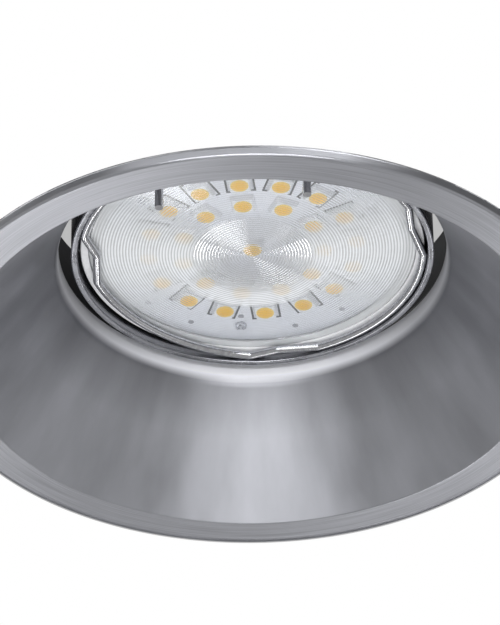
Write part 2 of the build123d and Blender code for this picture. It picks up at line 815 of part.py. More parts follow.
# Clip arm, in a frame at the hinge: x out along the arm, y up from it, z along the pin
arm_turn = math.radians(arm_slope)
arm_out = Vector(math.cos(arm_turn), 0, -math.sin(arm_turn))
arm_up = Vector(math.sin(arm_turn), 0, math.cos(arm_turn))
hinge_point = Vector(hinge_x, 0, hinge_height)
arm_plane = Plane(hinge_point, x_dir=arm_out, z_dir=(0, -1, 0))
plate_plane = Plane(hinge_point + arm_up * arm_plate_height, x_dir=arm_out, z_dir=arm_up)
with BuildPart() as clip_arm_right:
    for side in (-1, 1):
        with BuildSketch(arm_plane.offset(side * lug_inner)):
            with BuildLine():
                CenterArc((0, 0), lug_radius, 0, 360)
                Line((arm_cheek_length, arm_plate_height), (arm_cheek_length, arm_plate_top))
            make_hull()
            Circle(hinge_radius + running_clearance, mode=Mode.SUBTRACT)
        extrude(amount=side * sheet)
        with BuildSketch(along_y(side * lug_inner, x=hinge_x, z=hinge_height)):
            with BuildLine():
                Polyline(
                    (-heel_reach, heel_top),
                    (-heel_reach, heel_bottom),
                    (-hinge_radius, heel_bottom),
                    (-heel_inset, heel_top),
                    close=True,
                )
            make_face()
        extrude(amount=side * sheet)
    with BuildSketch(plate_plane):
        with Locations((arm_plate_start, 0)):
            Rectangle(
                arm_shoulder - arm_plate_start,
                2 * lug_outer,
                align=(Align.MIN, Align.CENTER),
            )
        with Locations((arm_plate_start, 0)):
            Rectangle(
                arm_length - arm_plate_start,
                2 * tongue_half_width,
                align=(Align.MIN, Align.CENTER),
            )
    extrude(amount=sheet)
save(clip_arm_right, "clip_arm_right")

# Sleeve: soft closed cap over the arm's tongue
sleeve_length = arm_length - sleeve_start + sleeve_wall + seat_gap
sleeve_half_width = tongue_half_width + seat_gap + sleeve_wall
sleeve_height = sheet + 2 * (seat_gap + sleeve_wall)
with BuildPart() as clip_sleeve_right:
    with BuildSketch(plate_plane.offset(-seat_gap - sleeve_wall)):
        with Locations((sleeve_start, 0)):
            Rectangle(sleeve_length, 2 * sleeve_half_width, align=(Align.MIN, Align.CENTER))
    extrude(amount=sleeve_height)
    fillet(clip_sleeve_right.edges(), sleeve_edge_round)
    with BuildSketch(plate_plane.offset(-seat_gap)):
        with Locations((sleeve_start - sleeve_wall, 0)):
            Rectangle(
                arm_length - sleeve_start + sleeve_wall + seat_gap,
                2 * (tongue_half_width + seat_gap),
                align=(Align.MIN, Align.CENTER),
            )
    extrude(amount=sheet + 2 * seat_gap, mode=Mode.SUBTRACT)
save(clip_sleeve_right, "clip_sleeve_right")


# Torsion spring round the hinge pin: a straight leg on the foot, turns, a leg on the arm
def coil_point(turned):
    """Point of the spring's centre line after some degrees of winding from the fixed leg."""
    angle = math.radians(180 - turned)
    drift = coil_pitch * turned / 360 - coil_length / 2
    return hinge_point + Vector(coil_radius * math.cos(angle), drift, coil_radius * math.sin(angle))


def coil_direction(turned):
    """Direction of the spring's centre line there."""
    angle = math.radians(180 - turned)
    rise = coil_pitch / (2 * math.pi)
    return Vector(coil_radius * math.sin(angle), rise, -coil_radius * math.cos(angle)).normalized()


def biarc(start, start_way, end, end_way):
    """Two arcs that leave one point and reach another in given directions."""
    span = end - start
    sum_way = start_way + end_way
    spread = 2 * (1 - start_way.dot(end_way))
    along = span.dot(sum_way)
    reach = (math.sqrt(along**2 + spread * span.dot(span)) - along) / spread
    first_control = start + start_way * reach
    last_control = end - end_way * reach
    middle = (first_control + last_control) * 0.5
    middle_way = (last_control - first_control).normalized()
    return [
        Edge.make_tangent_arc(start, start_way, middle),
        Edge.make_tangent_arc(middle, middle_way, end),
    ]


coil_sweep = 360 * coil_turns + 90 + arm_slope
coil_length = coil_pitch * coil_sweep / 360
quarter_count = math.ceil(coil_sweep / 90)
stations = [coil_sweep * step / quarter_count for step in range(quarter_count + 1)]
fixed_end = coil_point(0) - coil_direction(0) * coil_fixed_leg
arm_end = coil_point(coil_sweep) + coil_direction(coil_sweep) * coil_arm_leg
spring_edges = [Edge.make_line(fixed_end, coil_point(0))]
for begin, finish in zip(stations, stations[1:]):
    spring_edges += biarc(
        coil_point(begin), coil_direction(begin), coil_point(finish), coil_direction(finish)
    )
spring_edges.append(Edge.make_line(coil_point(coil_sweep), arm_end))
spring_path = Wire(spring_edges)
with BuildPart() as clip_spring_right:
    with BuildSketch(Plane(fixed_end, z_dir=coil_direction(0))):
        Circle(coil_wire_radius)
    sweep(path=spring_path)
save(clip_spring_right, "clip_spring_right")

# Least gap of the spring to itself, measured on points of its centre line
step_length = 0.3
sample_count = int(spring_path.length / step_length)
samples = [spring_path @ (index / sample_count) for index in range(sample_count + 1)]
apart = int(math.pi * coil_radius / step_length)
least_gap = min(
    (samples[first] - samples[second]).length
    for first in range(len(samples))
    for second in range(first + apart, len(samples))
) - 2 * coil_wire_radius
print(f"clip spring: least gap between turns {least_gap:.2f} mm")

# Left clip: the right one in the mirror
for right, name in (
    (clip_bracket_right, "clip_bracket_left"),
    (hinge_pin_right, "hinge_pin_left"),
    (clip_arm_right, "clip_arm_left"),
    (clip_sleeve_right, "clip_sleeve_left"),
    (clip_spring_right, "clip_spring_left"),
):
    with BuildPart() as left_piece:
        mirror(right.part, about=Plane.YZ)
    save(left_piece, name)
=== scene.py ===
"""Recessed ceiling downlight: fine pieces, finishes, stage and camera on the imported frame.

Sizes are in millimetres, and meshes are scaled to the frame's metres as they are made.
The light looks down: +Z points up into the ceiling, and the origin is the centre of the
flange's room-side face.
"""

import math

import bmesh
import bpy
from mathutils import Matrix, Vector


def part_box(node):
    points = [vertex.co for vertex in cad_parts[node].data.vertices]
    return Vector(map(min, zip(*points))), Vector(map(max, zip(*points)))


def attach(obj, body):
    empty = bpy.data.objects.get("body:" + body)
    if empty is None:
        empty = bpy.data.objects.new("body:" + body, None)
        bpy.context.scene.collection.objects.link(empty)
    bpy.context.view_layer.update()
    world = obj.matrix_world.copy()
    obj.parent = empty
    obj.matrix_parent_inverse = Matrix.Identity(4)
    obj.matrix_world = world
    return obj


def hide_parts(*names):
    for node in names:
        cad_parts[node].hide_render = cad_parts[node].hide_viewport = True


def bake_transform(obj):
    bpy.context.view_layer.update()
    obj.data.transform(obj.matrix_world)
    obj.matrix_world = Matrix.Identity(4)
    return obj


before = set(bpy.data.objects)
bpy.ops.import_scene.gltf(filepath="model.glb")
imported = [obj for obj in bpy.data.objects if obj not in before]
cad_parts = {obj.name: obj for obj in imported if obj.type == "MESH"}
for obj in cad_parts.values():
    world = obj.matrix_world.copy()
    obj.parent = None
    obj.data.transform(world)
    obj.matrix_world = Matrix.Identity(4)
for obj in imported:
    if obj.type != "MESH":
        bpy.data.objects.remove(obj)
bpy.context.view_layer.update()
scene = bpy.context.scene

MM = 0.001
full_turn = 2 * math.pi
tiny = 1e-6


def span(node):
    """Lowest and highest corner of a CAD node, in millimetres."""
    low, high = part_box(node)
    return Vector(low) / MM, Vector(high) / MM


# Roundings that many pieces share
hair_round = 0.1
fine_round = 0.15
thin_round = 0.2
small_round = 0.3
mild_round = 0.4
soft_round = 0.5
deep_round = 0.8
wide_round = 1.2
thin_edge = 0.08
round_step = 12.0
sharp_angle = 35.0
crease_angle = 30.0
edge_segments = 3
weld_gap = 1e-7

# Sides of round pieces, and steps of arcs
flange_sides = 256
outline_sides = 240
lamp_sides = 160
holder_sides = 128
inlet_sides = 96
pivot_sides = 64
pin_sides = 48
entry_sides = 40
window_sides = 32
dot_sides = 24
hoop_sides = 20
coil_sides = 14
arc_steps = 12
tooth_steps = 6
notch_steps = 2

# Finishes
metal_tint = 0.03
metal_detail = 5.0
moulding_detail = 4.0
grain_turn = 0.25

# Trim
trim_high = span("trim_cone")[1]
flange_radius = trim_high.x
collar_top = trim_high.z
flange_width = 5.2
flange_thickness = 1.7
flange_edge_round = 0.45
flange_land = 4.0
mouth_edge_round = 0.3
cone_spread = 13.25
cone_wall = 1.3
throat_corner_height = 17.05
neck_round = 4.0
neck_height = 3.0
lip_round = 0.9
spigot_height = 3.0
collar_inner_radius = 30.5
collar_wall = 1.5
collar_edge = 0.3
pad_half_width = 13.5
pad_depth = 1.2
pad_height = 16.0
pad_root = 1.0
casting_round = 0.25
# Painted highlight on the neck: a whiter, less metallic band, lightest on its far side
neck_softness = 0.75
# Heights where a level starts and ends, and what it is there
painted_neck_highlight = (16.6, 17.8, 0.0, 1.0)
# Painted shade: the cone darker towards its top
cone_top_shade = (10.0, 16.5, 1.0, 0.68)
# The same by how far a point lies to the back, where the neck's painted highlight is strongest
neck_far_highlight = (0.55, 0.95, 0.64, 1.0)

# Lamp ring and pivots
ring_low, ring_high = span("lamp_ring")
ring_wall = 0.9
ring_edge_round = 0.25
shoulder_width = 1.8
shoulder_thickness = 1.0
pivot_rise = 8.3
pivot_radius = 2.0
pivot_root_radius = 1.6
pivot_gap = 0.1
pivot_flange_radius = 3.0
pivot_flange_thickness = 1.0
pivot_end_length = 1.1
pivot_end_round = 0.45
spacer_radius = 3.2
spacer_play = 0.05
retainer_radius = 3.6
retainer_thickness = 0.7
retainer_tooth_count = 6
tooth_shares = (0.0, 0.7)
tooth_play = 0.02
notch_shares = (0.75, 0.95)
notch_depth = 0.75

# Retaining wire
wire_radius = 0.6
wire_setback = 0.8
wire_clearance = 0.05
wire_crease = 50.0
hoop_step = 2.0
wire_gap_azimuth = -96.7
wire_gap_half_angle = 28.6
kink_azimuths = (-14.0, 81.5, 181.0)
kink_reaches = (1.8, 1.8, 2.8)
kink_step_angles = (15.0, 10.0, 10.5)
kink_run_angles = (11.5, 14.5, 15.5)
kink_corner_round = 1.3
slack_azimuth = 140.0
slack_reach = 2.3
slack_end_reach = 1.9
finger_bend_radius = 1.6
finger_bend_share = 0.98
finger_drop = 7.7

# Lamp face
lens_low, lens_high = span("lamp_lens")
lens_thickness = 0.5
lens_bulge = 1.1
lens_land = 0.8
lens_ridges = 52
lens_segments = 256
lens_ior = 1.49
lens_roughness = 0.02
lens_crease = 40.0
dome_steps = 12
lens_middle_radius = 8.9
ridge_steps = 4
lens_ridge_slope = 0.26
lens_edge_slope = 0.03
ridge_fade = (0.37, 0.41)
lens_tint = (0.955, 0.98, 1.0)
haze_middle = 0.10
# The lens's haze on its sides and far part is painted sheen where light catches the ridges; its
# even middle haze is its own
sheen_haze_power = 4.0
haze_line_contrast = 0.40
# Radii where a level starts and ends, and what it is there
sheen_haze_sides = (3.0, 9.0, 0.0, 0.66)
sheen_haze_far = (3.0, 9.0, 0.0, 0.55)
sheen_haze_far_fade = (11.9, 12.9, 1.0, 0.0)
# Painted shade along the lens's ridge lines, strongest near the middle
line_shade = (6.0, 11.0, 0.12, 0.03)
frost_shade = (21.6, 22.3, 1.0, 0.85)
frost_veil = (21.6, 22.3, 0.0, 0.6)
board_low, board_high = span("led_board")
package_low, package_high = span("led_packages")
phosphor_low, phosphor_high = span("led_phosphors")
led_side = 3.5
phosphor_radius = 1.3
phosphor_dome = 0.07
phosphor_profile = ((0, 0), (0.45, 0.12), (0.8, 0.45), (1, 1))
phosphor_mottle = 0.2
led_draft = 0.82
bracket_mark_gap = 2.0
bracket_mark_half_length = 2.3
bracket_mark_hook = 0.6
bracket_mark_width = 0.30
mark_height = 0.03
dot_radius = 0.45
inner_dot = (16.9, 96.3)
dot_screw_angle = 10
# Rings on the board: count, radius and first azimuth
outer_leds = (16, 15.15, 83.5)
inner_leds = (11, 10.35, -97.0)
outer_dots = (16, 20.2, 94.75)
board_screw_ring = (3, 19.0, 95.7)

# Lamp body and base
body_low, body_high = span("lamp_body")
rim_thickness = 4.55
lens_seat_gap = 0.1
cup_radius = 22.9
sink_shoulder_radius = 23.1
sink_floor = 3.2
sink_top_radius = 13.2
sink_bow = 1.8
core_radius = 11.2
cavity_radius = 9.6
fin_count = 20
fin_slot_width = 2.2
fin_slot_rise = 4.8
fin_round = 0.3
fin_root = 0.3
fin_levels = 14
fin_steps = 4
bow_steps = 6
base_low, base_high = span("lamp_base")
base_skirt_height = 6.0
base_taper_height = 4.5
base_neck_radius = 10.4
base_spigot_radius = 9.5
base_spigot_wall = 0.75
base_roof = 4.5
base_end_round = 0.7
base_foot_round = 0.35
pin_spacing = 10.0
pins_low, pins_high = span("base_pins")
pin_neck_radius = 1.6
pin_head_radius = 2.5
pin_head_height = 2.8

# Lampholder
front_low, front_high = span("holder_front")
back_low, back_high = span("holder_back")
cover_low, cover_high = span("holder_cover")
grommet_low, grommet_high = span("inlet_grommet")
holder_edge_round = 0.7
holder_wall = 2.0
holder_plate = 3.8
slot_clearance = 0.25
slot_reach = 1.0
twist_angle = 40.0
back_spigot = 1.9
back_spigot_gap = 0.1
tail_half_width = 0.7
tail_half_length = 1.7
cover_edge_round = 1.5
cover_wall = 1.4
cover_roof = 1.8
cover_screw_offset = 9.6
inlet_bore_radius = 3.2
inlet_neck_radius = 4.9
inlet_lower_flange = 1.0
inlet_upper_flange = 1.2
inlet_lower_round = 0.35
inlet_upper_round = 0.55

# Clips
sheet = 1.2
sheet_edge = 0.22
flake_size = 2.2
flake_share = 0.35
bracket_low, bracket_high = span("clip_bracket_right")
bracket_corner = 2.4
ear_inner = 6.8
ear_radius = 3.0
ear_root = 0.4
ear_root_half_height = 4.2
hinge_offset = 3.2
hinge_radius = 1.5
hinge_head_radius = 2.3
hinge_head_height = 1.0
rivet_round = 0.6
bracket_screw_offset = 10.6
bracket_screw_drop = 8.5
hinge_drop = 5.5
arm_slope = 30.0
lug_radius = 2.9
lug_outer = 6.6
arm_plate_height = 0.8
arm_plate_start = 4.0
arm_cheek_length = 14.0
arm_shoulder = 16.5
arm_length = 29.0
arm_corner = 1.4
tongue_half_width = 3.5
tongue_round = 1.5
heel_reach = 2.95
heel_top = 1.7
heel_bottom = 2.5
heel_inset = 2.1
sleeve_start = 19.5
sleeve_wall = 1.4
sleeve_gap = 0.1
sleeve_edge_round = 1.2
coil_radius = 2.6
coil_wire_radius = 0.5
coil_pitch = 1.7
coil_turns = 4
coil_step = 12
coil_fixed_leg = 5.5
coil_arm_leg = 8.5

# Screws: radius, head radius, head height and depth in the last piece
board_screw_sizes = (0.7, 0.85, 0.5, 1.0)
cover_screw_sizes = (1.2, 2.3, 1.4, 3.0)
bracket_screw_sizes = (1.3, 2.0, 1.3, 3.2)
drive_slot_width = 0.7
drive_slot_share = 0.5
head_dome_share = 0.45

# Stage and camera
photo_width = 500
photo_height = 625
photo_focal_px = 4373.0
photo_origin_px = (254.25, 360.8)
photo_roll = 0.016
camera_distance = 620.0
camera_drop_angle = 36.13
sensor_height = 36.0
near_clip = 10.0
stage_radius = 3000.0
stage_gap = -0.06
floor_drop = 0.3
ceiling_drop = 0.35
studio_side_way = (0.906, -0.099, -0.407)
studio_through = 1.5
# Rises of a ray where a level of the studio starts and ends, and what it is there
studio_round = (-0.3, 0.1, 1.0, 0.5)
mirrored_over = (0.0, 0.4, 1.0, 0.45)
seen_below = (-0.02, 0.0, 0.74, 1.0)
seen_above = (0.3, 0.4, 1.0, 0.5)
# The same by how near a ray lies to the side way
mirrored_side = (0.90, 0.98, 0.44, 0.62)

# Worked out from the values above
mouth_radius = flange_radius - flange_width
throat_radius = mouth_radius - cone_spread
lip_top = throat_corner_height + neck_height + lip_round
spigot_radius = flange_radius - flange_land
spigot_top = flange_thickness + spigot_height
collar_outer_radius = collar_inner_radius + collar_wall
cone_slope = cone_spread / throat_corner_height
cone_thickness = cone_wall / math.cos(math.atan(cone_slope))
pad_face = collar_outer_radius + pad_depth
pad_top = collar_top - collar_edge
ring_outer_radius = ring_high.x
ring_inner_radius = ring_outer_radius - ring_wall
rim_front = body_low.z
rim_back = rim_front + rim_thickness
shoulder_front = rim_back + lens_seat_gap
pivot_height = ring_low.z + pivot_rise
wire_height = ring_low.z + wire_setback
hoop_radius = ring_inner_radius - wire_radius - wire_clearance
lamp_radius = body_high.x
lens_radius = lens_high.x
lens_front = lens_low.z + lens_bulge
lens_face_radius = lens_radius - lens_land
sink_top = body_high.z
fin_slot_bottom = rim_back + fin_slot_rise
base_end = base_high.z
holder_radius = front_high.x
foot_face = pad_face + sheet
hinge_x = foot_face + hinge_offset
hinge_height = bracket_high.z - hinge_drop
lug_inner = lug_outer - sheet
arm_plate_top = arm_plate_height + sheet
coil_sweep = 360 * coil_turns + 90 + arm_slope
coil_length = coil_pitch * coil_sweep / 360


# Outlines

def rounded_path(corners, least=3):
    """Points of a line in space whose corners (point, radius) are rounded off."""
    points = []
    for index, (here, radius) in enumerate(corners):
        if radius == 0:
            points.append(here)
            continue
        before = (corners[index - 1][0] - here).normalized()
        after = (corners[(index + 1) % len(corners)][0] - here).normalized()
        opening = before.angle(after)
        centre = here + (before + after).normalized() * radius / math.sin(opening / 2)
        start = here + before * radius / math.tan(opening / 2) - centre
        turn, axis = math.pi - opening, after.cross(before)
        count = max(least, math.ceil(turn / math.radians(round_step)))
        turns = [Matrix.Rotation(turn * k / count, 3, axis) for k in range(count + 1)]
        points += [centre + matrix @ start for matrix in turns]
    return points


def rounded(corners):
    """Points of a flat outline whose corners (x, y, radius) are rounded off."""
    spots = [(Vector((x, y, 0)), radius) for x, y, radius in corners]
    return [p.xy for p in rounded_path(spots, least=2)]


def rectangle(left, right, half, radius=0):
    """Outline of a rectangle about the X axis."""
    corners = ((left, -half), (right, -half), (right, half), (left, half))
    return rounded([(x, y, radius) for x, y in corners])


def walls(*rows, solid=True):
    """Corners of a turned outline from its walls (radius, height, rounding, height, rounding).

    The outline of a solid piece starts and ends on the axis.
    """
    corners = [corner for radius, first, round_first, last, round_last in rows
               for corner in ((radius, first, round_first), (radius, last, round_last))]
    return [(0, corners[0][1], 0), *corners, (0, corners[-1][1], 0)] if solid else corners


def polar(radius, azimuth, height=0.0):
    """Point at a radius and an azimuth in degrees."""
    angle = math.radians(azimuth)
    return Vector((radius * math.cos(angle), radius * math.sin(angle), height))


def arc(radius, first, last, count, centre=(0.0, 0.0)):
    """Points of a circle's arc between two azimuths in degrees."""
    turns = [math.radians(first + (last - first) * k / count) for k in range(count + 1)]
    x, y = centre[:2]
    return [Vector((x + radius * math.cos(t), y + radius * math.sin(t))) for t in turns]


def circle_through(first, second, third):
    """Centre and radius of the circle through three points."""
    a, b = second - first, third - first
    d = 2 * a.cross(b)
    centre = first + Vector((b.y * a.dot(a) - a.y * b.dot(b), a.x * b.dot(b) - b.x * a.dot(a))) / d
    return centre, (first - centre).length


def hull(points):
    """Outline round a set of points, anticlockwise."""
    ordered = sorted((round(p[0], 6), round(p[1], 6)) for p in points)

    def half(run):
        kept = []
        for p in run:
            while len(kept) > 1 and (
                (kept[-1][0] - kept[-2][0]) * (p[1] - kept[-2][1])
                - (kept[-1][1] - kept[-2][1]) * (p[0] - kept[-2][0])
            ) <= 0:
                kept.pop()
            kept.append(p)
        return kept[:-1]

    return [Vector(p) for p in half(ordered) + half(ordered[::-1])]


# Meshes

def placed(name, data):
    """New object in the scene."""
    thing = bpy.data.objects.new(name, data)
    scene.collection.objects.link(thing)
    return thing


def evaluated(thing):
    """Plain mesh of an object with its modifiers, which takes the object's place."""
    graph = bpy.context.evaluated_depsgraph_get()
    mesh = bpy.data.meshes.new_from_object(thing.evaluated_get(graph), depsgraph=graph)
    bpy.data.objects.remove(thing)
    return mesh


def mesh_from(name, shape):
    """Plain mesh of a shape, which is used up."""
    mesh = bpy.data.meshes.new(name)
    shape.to_mesh(mesh)
    shape.free()
    return mesh


def frame_at(origin, x_way, y_way):
    """Matrix that takes a piece's own axes to a place in the frame."""
    x_axis = Vector(x_way).normalized()
    z_axis = x_axis.cross(Vector(y_way)).normalized()
    y_axis = z_axis.cross(x_axis)
    turn = Matrix((x_axis, y_axis, z_axis)).transposed().to_4x4()
    return Matrix.Translation(Vector(origin)) @ turn


def wall(shape, low, high):
    """Faces between two loops of points."""
    for k in range(len(low)):
        n = (k + 1) % len(low)
        shape.faces.new((low[k], low[n], high[n], high[k]))


def lathe(corners, segments=lamp_sides, place=Matrix.Identity(4), shape=None, finish_of=None,
          closed=True):
    """Turn an outline of (radius, height, rounding) corners about the Z axis of a place."""
    shape = bmesh.new() if shape is None else shape
    outline = rounded(corners)
    rings = []
    for radius, height in outline:
        turns = [360 * k / segments for k in range(segments)] if radius > tiny else [0]
        rings.append([shape.verts.new(place @ polar(radius, turn, height)) for turn in turns])
    for index, low in enumerate(rings if closed else rings[:-1]):
        after = (index + 1) % len(rings)
        high = rings[after]
        if len(low) == 1 and len(high) == 1:
            continue
        middle = (outline[index] + outline[after]) / 2
        for k in range(segments):
            n = (k + 1) % segments
            around = [low[k % len(low)], low[n % len(low)],
                      high[n % len(high)], high[k % len(high)]]
            face = shape.faces.new(list(dict.fromkeys(around)))
            if finish_of:
                face.material_index = finish_of(middle.x, middle.y)
    return shape


def prism(outline, low, high, place=Matrix.Identity(4), edge=0.0, finish=0, shape=None):
    """Extrude a flat outline between two heights of a place, with its edges eased."""
    own = bmesh.new()
    floor, roof = ([own.verts.new((p[0], p[1], height)) for p in outline] for height in (low, high))
    own.faces.new(floor[::-1])
    own.faces.new(roof)
    wall(own, floor, roof)
    ease(own, edge)
    return merge(bmesh.new() if shape is None else shape, own, place, finish)


def ease(own, edge):
    """Round off the sharp edges of a shape."""
    own.normal_update()
    bmesh.ops.recalc_face_normals(own, faces=own.faces)
    if edge:
        least = math.radians(sharp_angle)
        sharp = [e for e in own.edges if e.is_manifold and e.calc_face_angle() > least]
        bmesh.ops.bevel(own, geom=sharp, offset=edge, segments=edge_segments, profile=0.5,
                        affect="EDGES", clamp_overlap=True)


def merge(shape, own, place, finish=0):
    """Add one shape to another at a place."""
    bmesh.ops.transform(own, matrix=place, verts=own.verts)
    for face in own.faces:
        face.material_index = finish
    part = mesh_from("part", own)
    shape.from_mesh(part)
    bpy.data.meshes.remove(part)
    return shape


def cut(shape, tool):
    """Take one closed shape out of another."""
    for own in (shape, tool):
        bmesh.ops.recalc_face_normals(own, faces=own.faces)
    whole, taken = (mesh_from("uncut", own) for own in (shape, tool))
    holder, knife = placed("uncut", whole), placed("uncut", taken)
    settings = holder.modifiers.new("cut", "BOOLEAN")
    settings.operation, settings.solver, settings.use_self = "DIFFERENCE", "EXACT", True
    settings.object = knife
    result = evaluated(holder)
    done = bmesh.new()
    done.from_mesh(result)
    bpy.data.objects.remove(knife)
    for mesh in (result, whole, taken):
        bpy.data.meshes.remove(mesh)
    return done


def mesh_of(name, shape, crease=crease_angle, mirrored=False):
    """Plain mesh in metres, smooth but for its creases, with even normals on its flats."""
    scale = Matrix.Diagonal((-MM if mirrored else MM, MM, MM, 1))
    bmesh.ops.transform(shape, matrix=scale, verts=shape.verts)
    bmesh.ops.remove_doubles(shape, verts=shape.verts, dist=weld_gap)
    bmesh.ops.recalc_face_normals(shape, faces=shape.faces)
    return soften(mesh_from(name, shape), crease)


def soften(mesh, crease=crease_angle):
    """Shade a mesh smooth but for its creases, with normals weighted by face area."""
    mesh.shade_smooth()
    mesh.set_sharp_from_angle(angle=math.radians(crease))
    holder = placed("holder", mesh)
    holder.modifiers.new("even", "WEIGHTED_NORMAL").keep_sharp = True
    done = evaluated(holder)
    name = mesh.name
    bpy.data.meshes.remove(mesh)
    done.name = name
    return done


def joined(name, meshes):
    """One mesh from several."""
    shape = bmesh.new()
    for mesh in meshes:
        shape.from_mesh(mesh)
        bpy.data.meshes.remove(mesh)
    bmesh.ops.recalc_face_normals(shape, faces=shape.faces)
    return soften(mesh_from(name, shape))


def keep(name, form, body, node, *names, slot=None, crease=crease_angle, mirrored=False):
    """Keep a shape, a mesh or some meshes as a piece on a body, in place of a CAD node."""
    if isinstance(form, list):
        mesh = joined(name, form)
    elif isinstance(form, bmesh.types.BMesh):
        mesh = mesh_of(name, form, crease, mirrored)
    else:
        mesh = form
        mesh.materials.clear()
    for finish in names:
        mesh.materials.append(finishes[finish])
    piece = placed(name, mesh)
    if body:
        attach(piece, body)
    if node:
        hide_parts(node)
    return piece


# Node trees

class Field:
    """A node's output, so that sums of outputs can be written plainly."""

    def __init__(self, socket):
        self.socket = socket

    def node(self, kind, inputs, give=0, **settings):
        """Output of a new node in the same tree."""
        return add(self.socket.id_data, kind, inputs, give, **settings)

    def maths(self, operation, other=0.0):
        return self.node("Math", {0: self, 1: other}, operation=operation)

    def vector(self, operation, other=(0, 0, 0), give=0):
        return self.node("VectorMath", {0: self, 1: other}, give, operation=operation)

    def graded(self, first, last, low=0.0, high=1.0):
        """Level that runs from low to high as this output goes from first to last."""
        return self.node("MapRange", {
            "Value": self, "From Min": first, "From Max": last, "To Min": low, "To Max": high,
        })

    def parts(self):
        """X, Y and Z of a vector."""
        return [Field(part) for part in self.node("SeparateXYZ", {0: self}).socket.node.outputs]

    def __add__(self, other):
        return self.maths("ADD", other)

    def __mul__(self, other):
        return self.maths("MULTIPLY", other)

    def __rsub__(self, other):
        return self.node("Math", {0: other, 1: self}, operation="SUBTRACT")


def add(tree, kind, inputs=None, give=0, **settings):
    """Output of a new node, whose inputs take values or other outputs."""
    node = tree.nodes.new(kind if "Node" in kind else f"ShaderNode{kind}")
    for name, value in settings.items():
        setattr(node, name, value)
    for key, value in (inputs or {}).items():
        if isinstance(value, Field):
            tree.links.new(value.socket, node.inputs[key])
        else:
            node.inputs[key].default_value = value
    return Field(node.outputs[give])


def scaled(tree, vector, amount):
    """A vector or colour times an amount."""
    return add(tree, "VectorMath", {0: vector, "Scale": amount}, operation="SCALE")


def shape_tree(name, build, sizes):
    """Geometry tree with an input for each size, which ends in real geometry and its material."""
    tree = bpy.data.node_groups.new(name, "GeometryNodeTree")
    tree.interface.new_socket("Geometry", in_out="INPUT", socket_type="NodeSocketGeometry")
    for label, kind in {**sizes, "Finish": "Material"}.items():
        tree.interface.new_socket(label, in_out="INPUT", socket_type=f"NodeSocket{kind}")
    tree.interface.new_socket("Geometry", in_out="OUTPUT", socket_type="NodeSocketGeometry")
    source = {socket.name: Field(socket) for socket in tree.nodes.new("NodeGroupInput").outputs}
    real = add(tree, "GeometryNodeRealizeInstances", {0: build(tree, source)})
    painted = add(tree, "GeometryNodeSetMaterial", {"Geometry": real, "Material": source["Finish"]})
    tree.links.new(painted.socket, tree.nodes.new("NodeGroupOutput").inputs[0])
    return tree


def set_out(tree, points, piece, way):
    """Pieces on points, each with its X axis along a way."""
    facing = add(tree, "FunctionNodeAlignRotationToVector", {"Vector": way}, axis="X")
    form = add(tree, "GeometryNodeObjectInfo", {"Object": piece}, "Geometry")
    return add(tree, "GeometryNodeInstanceOnPoints",
               {"Points": points, "Instance": form, "Rotation": facing})


def ring_nodes(tree, sizes):
    """Pieces set round the Z axis, each with its X axis outwards."""
    circle = add(tree, "GeometryNodeMeshCircle",
                 {"Vertices": sizes["Count"], "Radius": sizes["Radius"]})
    ring = set_out(tree, circle, sizes["Piece"], add(tree, "GeometryNodeInputPosition"))
    start = add(tree, "CombineXYZ", {"Z": sizes["Start"]})
    return add(tree, "GeometryNodeTransform", {"Geometry": ring, "Rotation": start})


def spot_nodes(tree, sizes):
    """Pieces set on a seed's points, each with its X axis along the point's own aim."""
    aim = add(tree, "GeometryNodeInputNamedAttribute", {"Name": "aim"}, data_type="FLOAT_VECTOR")
    return set_out(tree, sizes["Geometry"], sizes["Piece"], aim)


def wire_nodes(tree, sizes):
    """Round wire along a seed curve, with closed ends."""
    profile = add(tree, "GeometryNodeCurvePrimitiveCircle",
                  {"Resolution": sizes["Sides"], "Radius": sizes["Wire radius"]})
    return add(tree, "GeometryNodeCurveToMesh",
               {"Curve": sizes["Geometry"], "Profile Curve": profile, "Fill Caps": True})


def lens_nodes(tree, sizes):
    """Low dome with rings of low round ridges."""
    ridges = sizes["Ridges"]
    grid = add(tree, "GeometryNodeMeshGrid", {
        "Size X": 1.0, "Size Y": 1.0,
        "Vertices X": ridges * ridge_steps + 1, "Vertices Y": sizes["Segments"] + 1,
    })
    across, along, _ = add(tree, "GeometryNodeInputPosition").parts()
    share = across + 0.5
    angle = (along + 0.5) * full_turn
    radius = sizes["Radius"] * share
    crest = 1.0 - (share * ridges * full_turn).maths("COSINE")
    swing = sizes["Radius"].maths("DIVIDE", ridges * full_turn)
    slope = share.graded(*ridge_fade, sizes["Slope"], sizes["Edge slope"])
    rise = sizes["Bulge"] * (share * share)
    spot = add(tree, "CombineXYZ", {
        "X": radius * angle.maths("COSINE"), "Y": radius * angle.maths("SINE"),
        "Z": sizes["Height"] + rise + swing * slope * crest,
    })
    face = add(tree, "GeometryNodeSetPosition", {"Geometry": grid, "Position": spot})
    return add(tree, "GeometryNodeMergeByDistance", {"Geometry": face, "Distance": tiny})


pieces_in_a_ring = shape_tree("pieces_in_a_ring", ring_nodes, {
    "Piece": "Object", "Count": "Int", "Radius": "Float", "Start": "Float",
})
pieces_on_spots = shape_tree("pieces_on_spots", spot_nodes, {"Piece": "Object"})
round_wire = shape_tree("round_wire", wire_nodes, {"Wire radius": "Float", "Sides": "Int"})
ridged_face = shape_tree("ridged_face", lens_nodes, {
    "Radius": "Float", "Height": "Float", "Bulge": "Float", "Ridges": "Int", "Slope": "Float",
    "Edge slope": "Float", "Segments": "Int",
})


def grow(name, tree, finish, values, seed=None):
    """Run a geometry tree on a seed mesh or curve and return its result as a plain mesh."""
    holder = placed(f"{name}_seed", seed or bpy.data.meshes.new(f"{name}_seed"))
    modifier = holder.modifiers.new("grow", "NODES")
    modifier.node_group = tree
    values = {**values, "Finish": finishes[finish]}
    for item in tree.interface.items_tree:
        if item.in_out == "INPUT" and item.name in values:
            modifier[item.identifier] = values[item.name]
    mesh = evaluated(holder)
    mesh.name = name
    return mesh


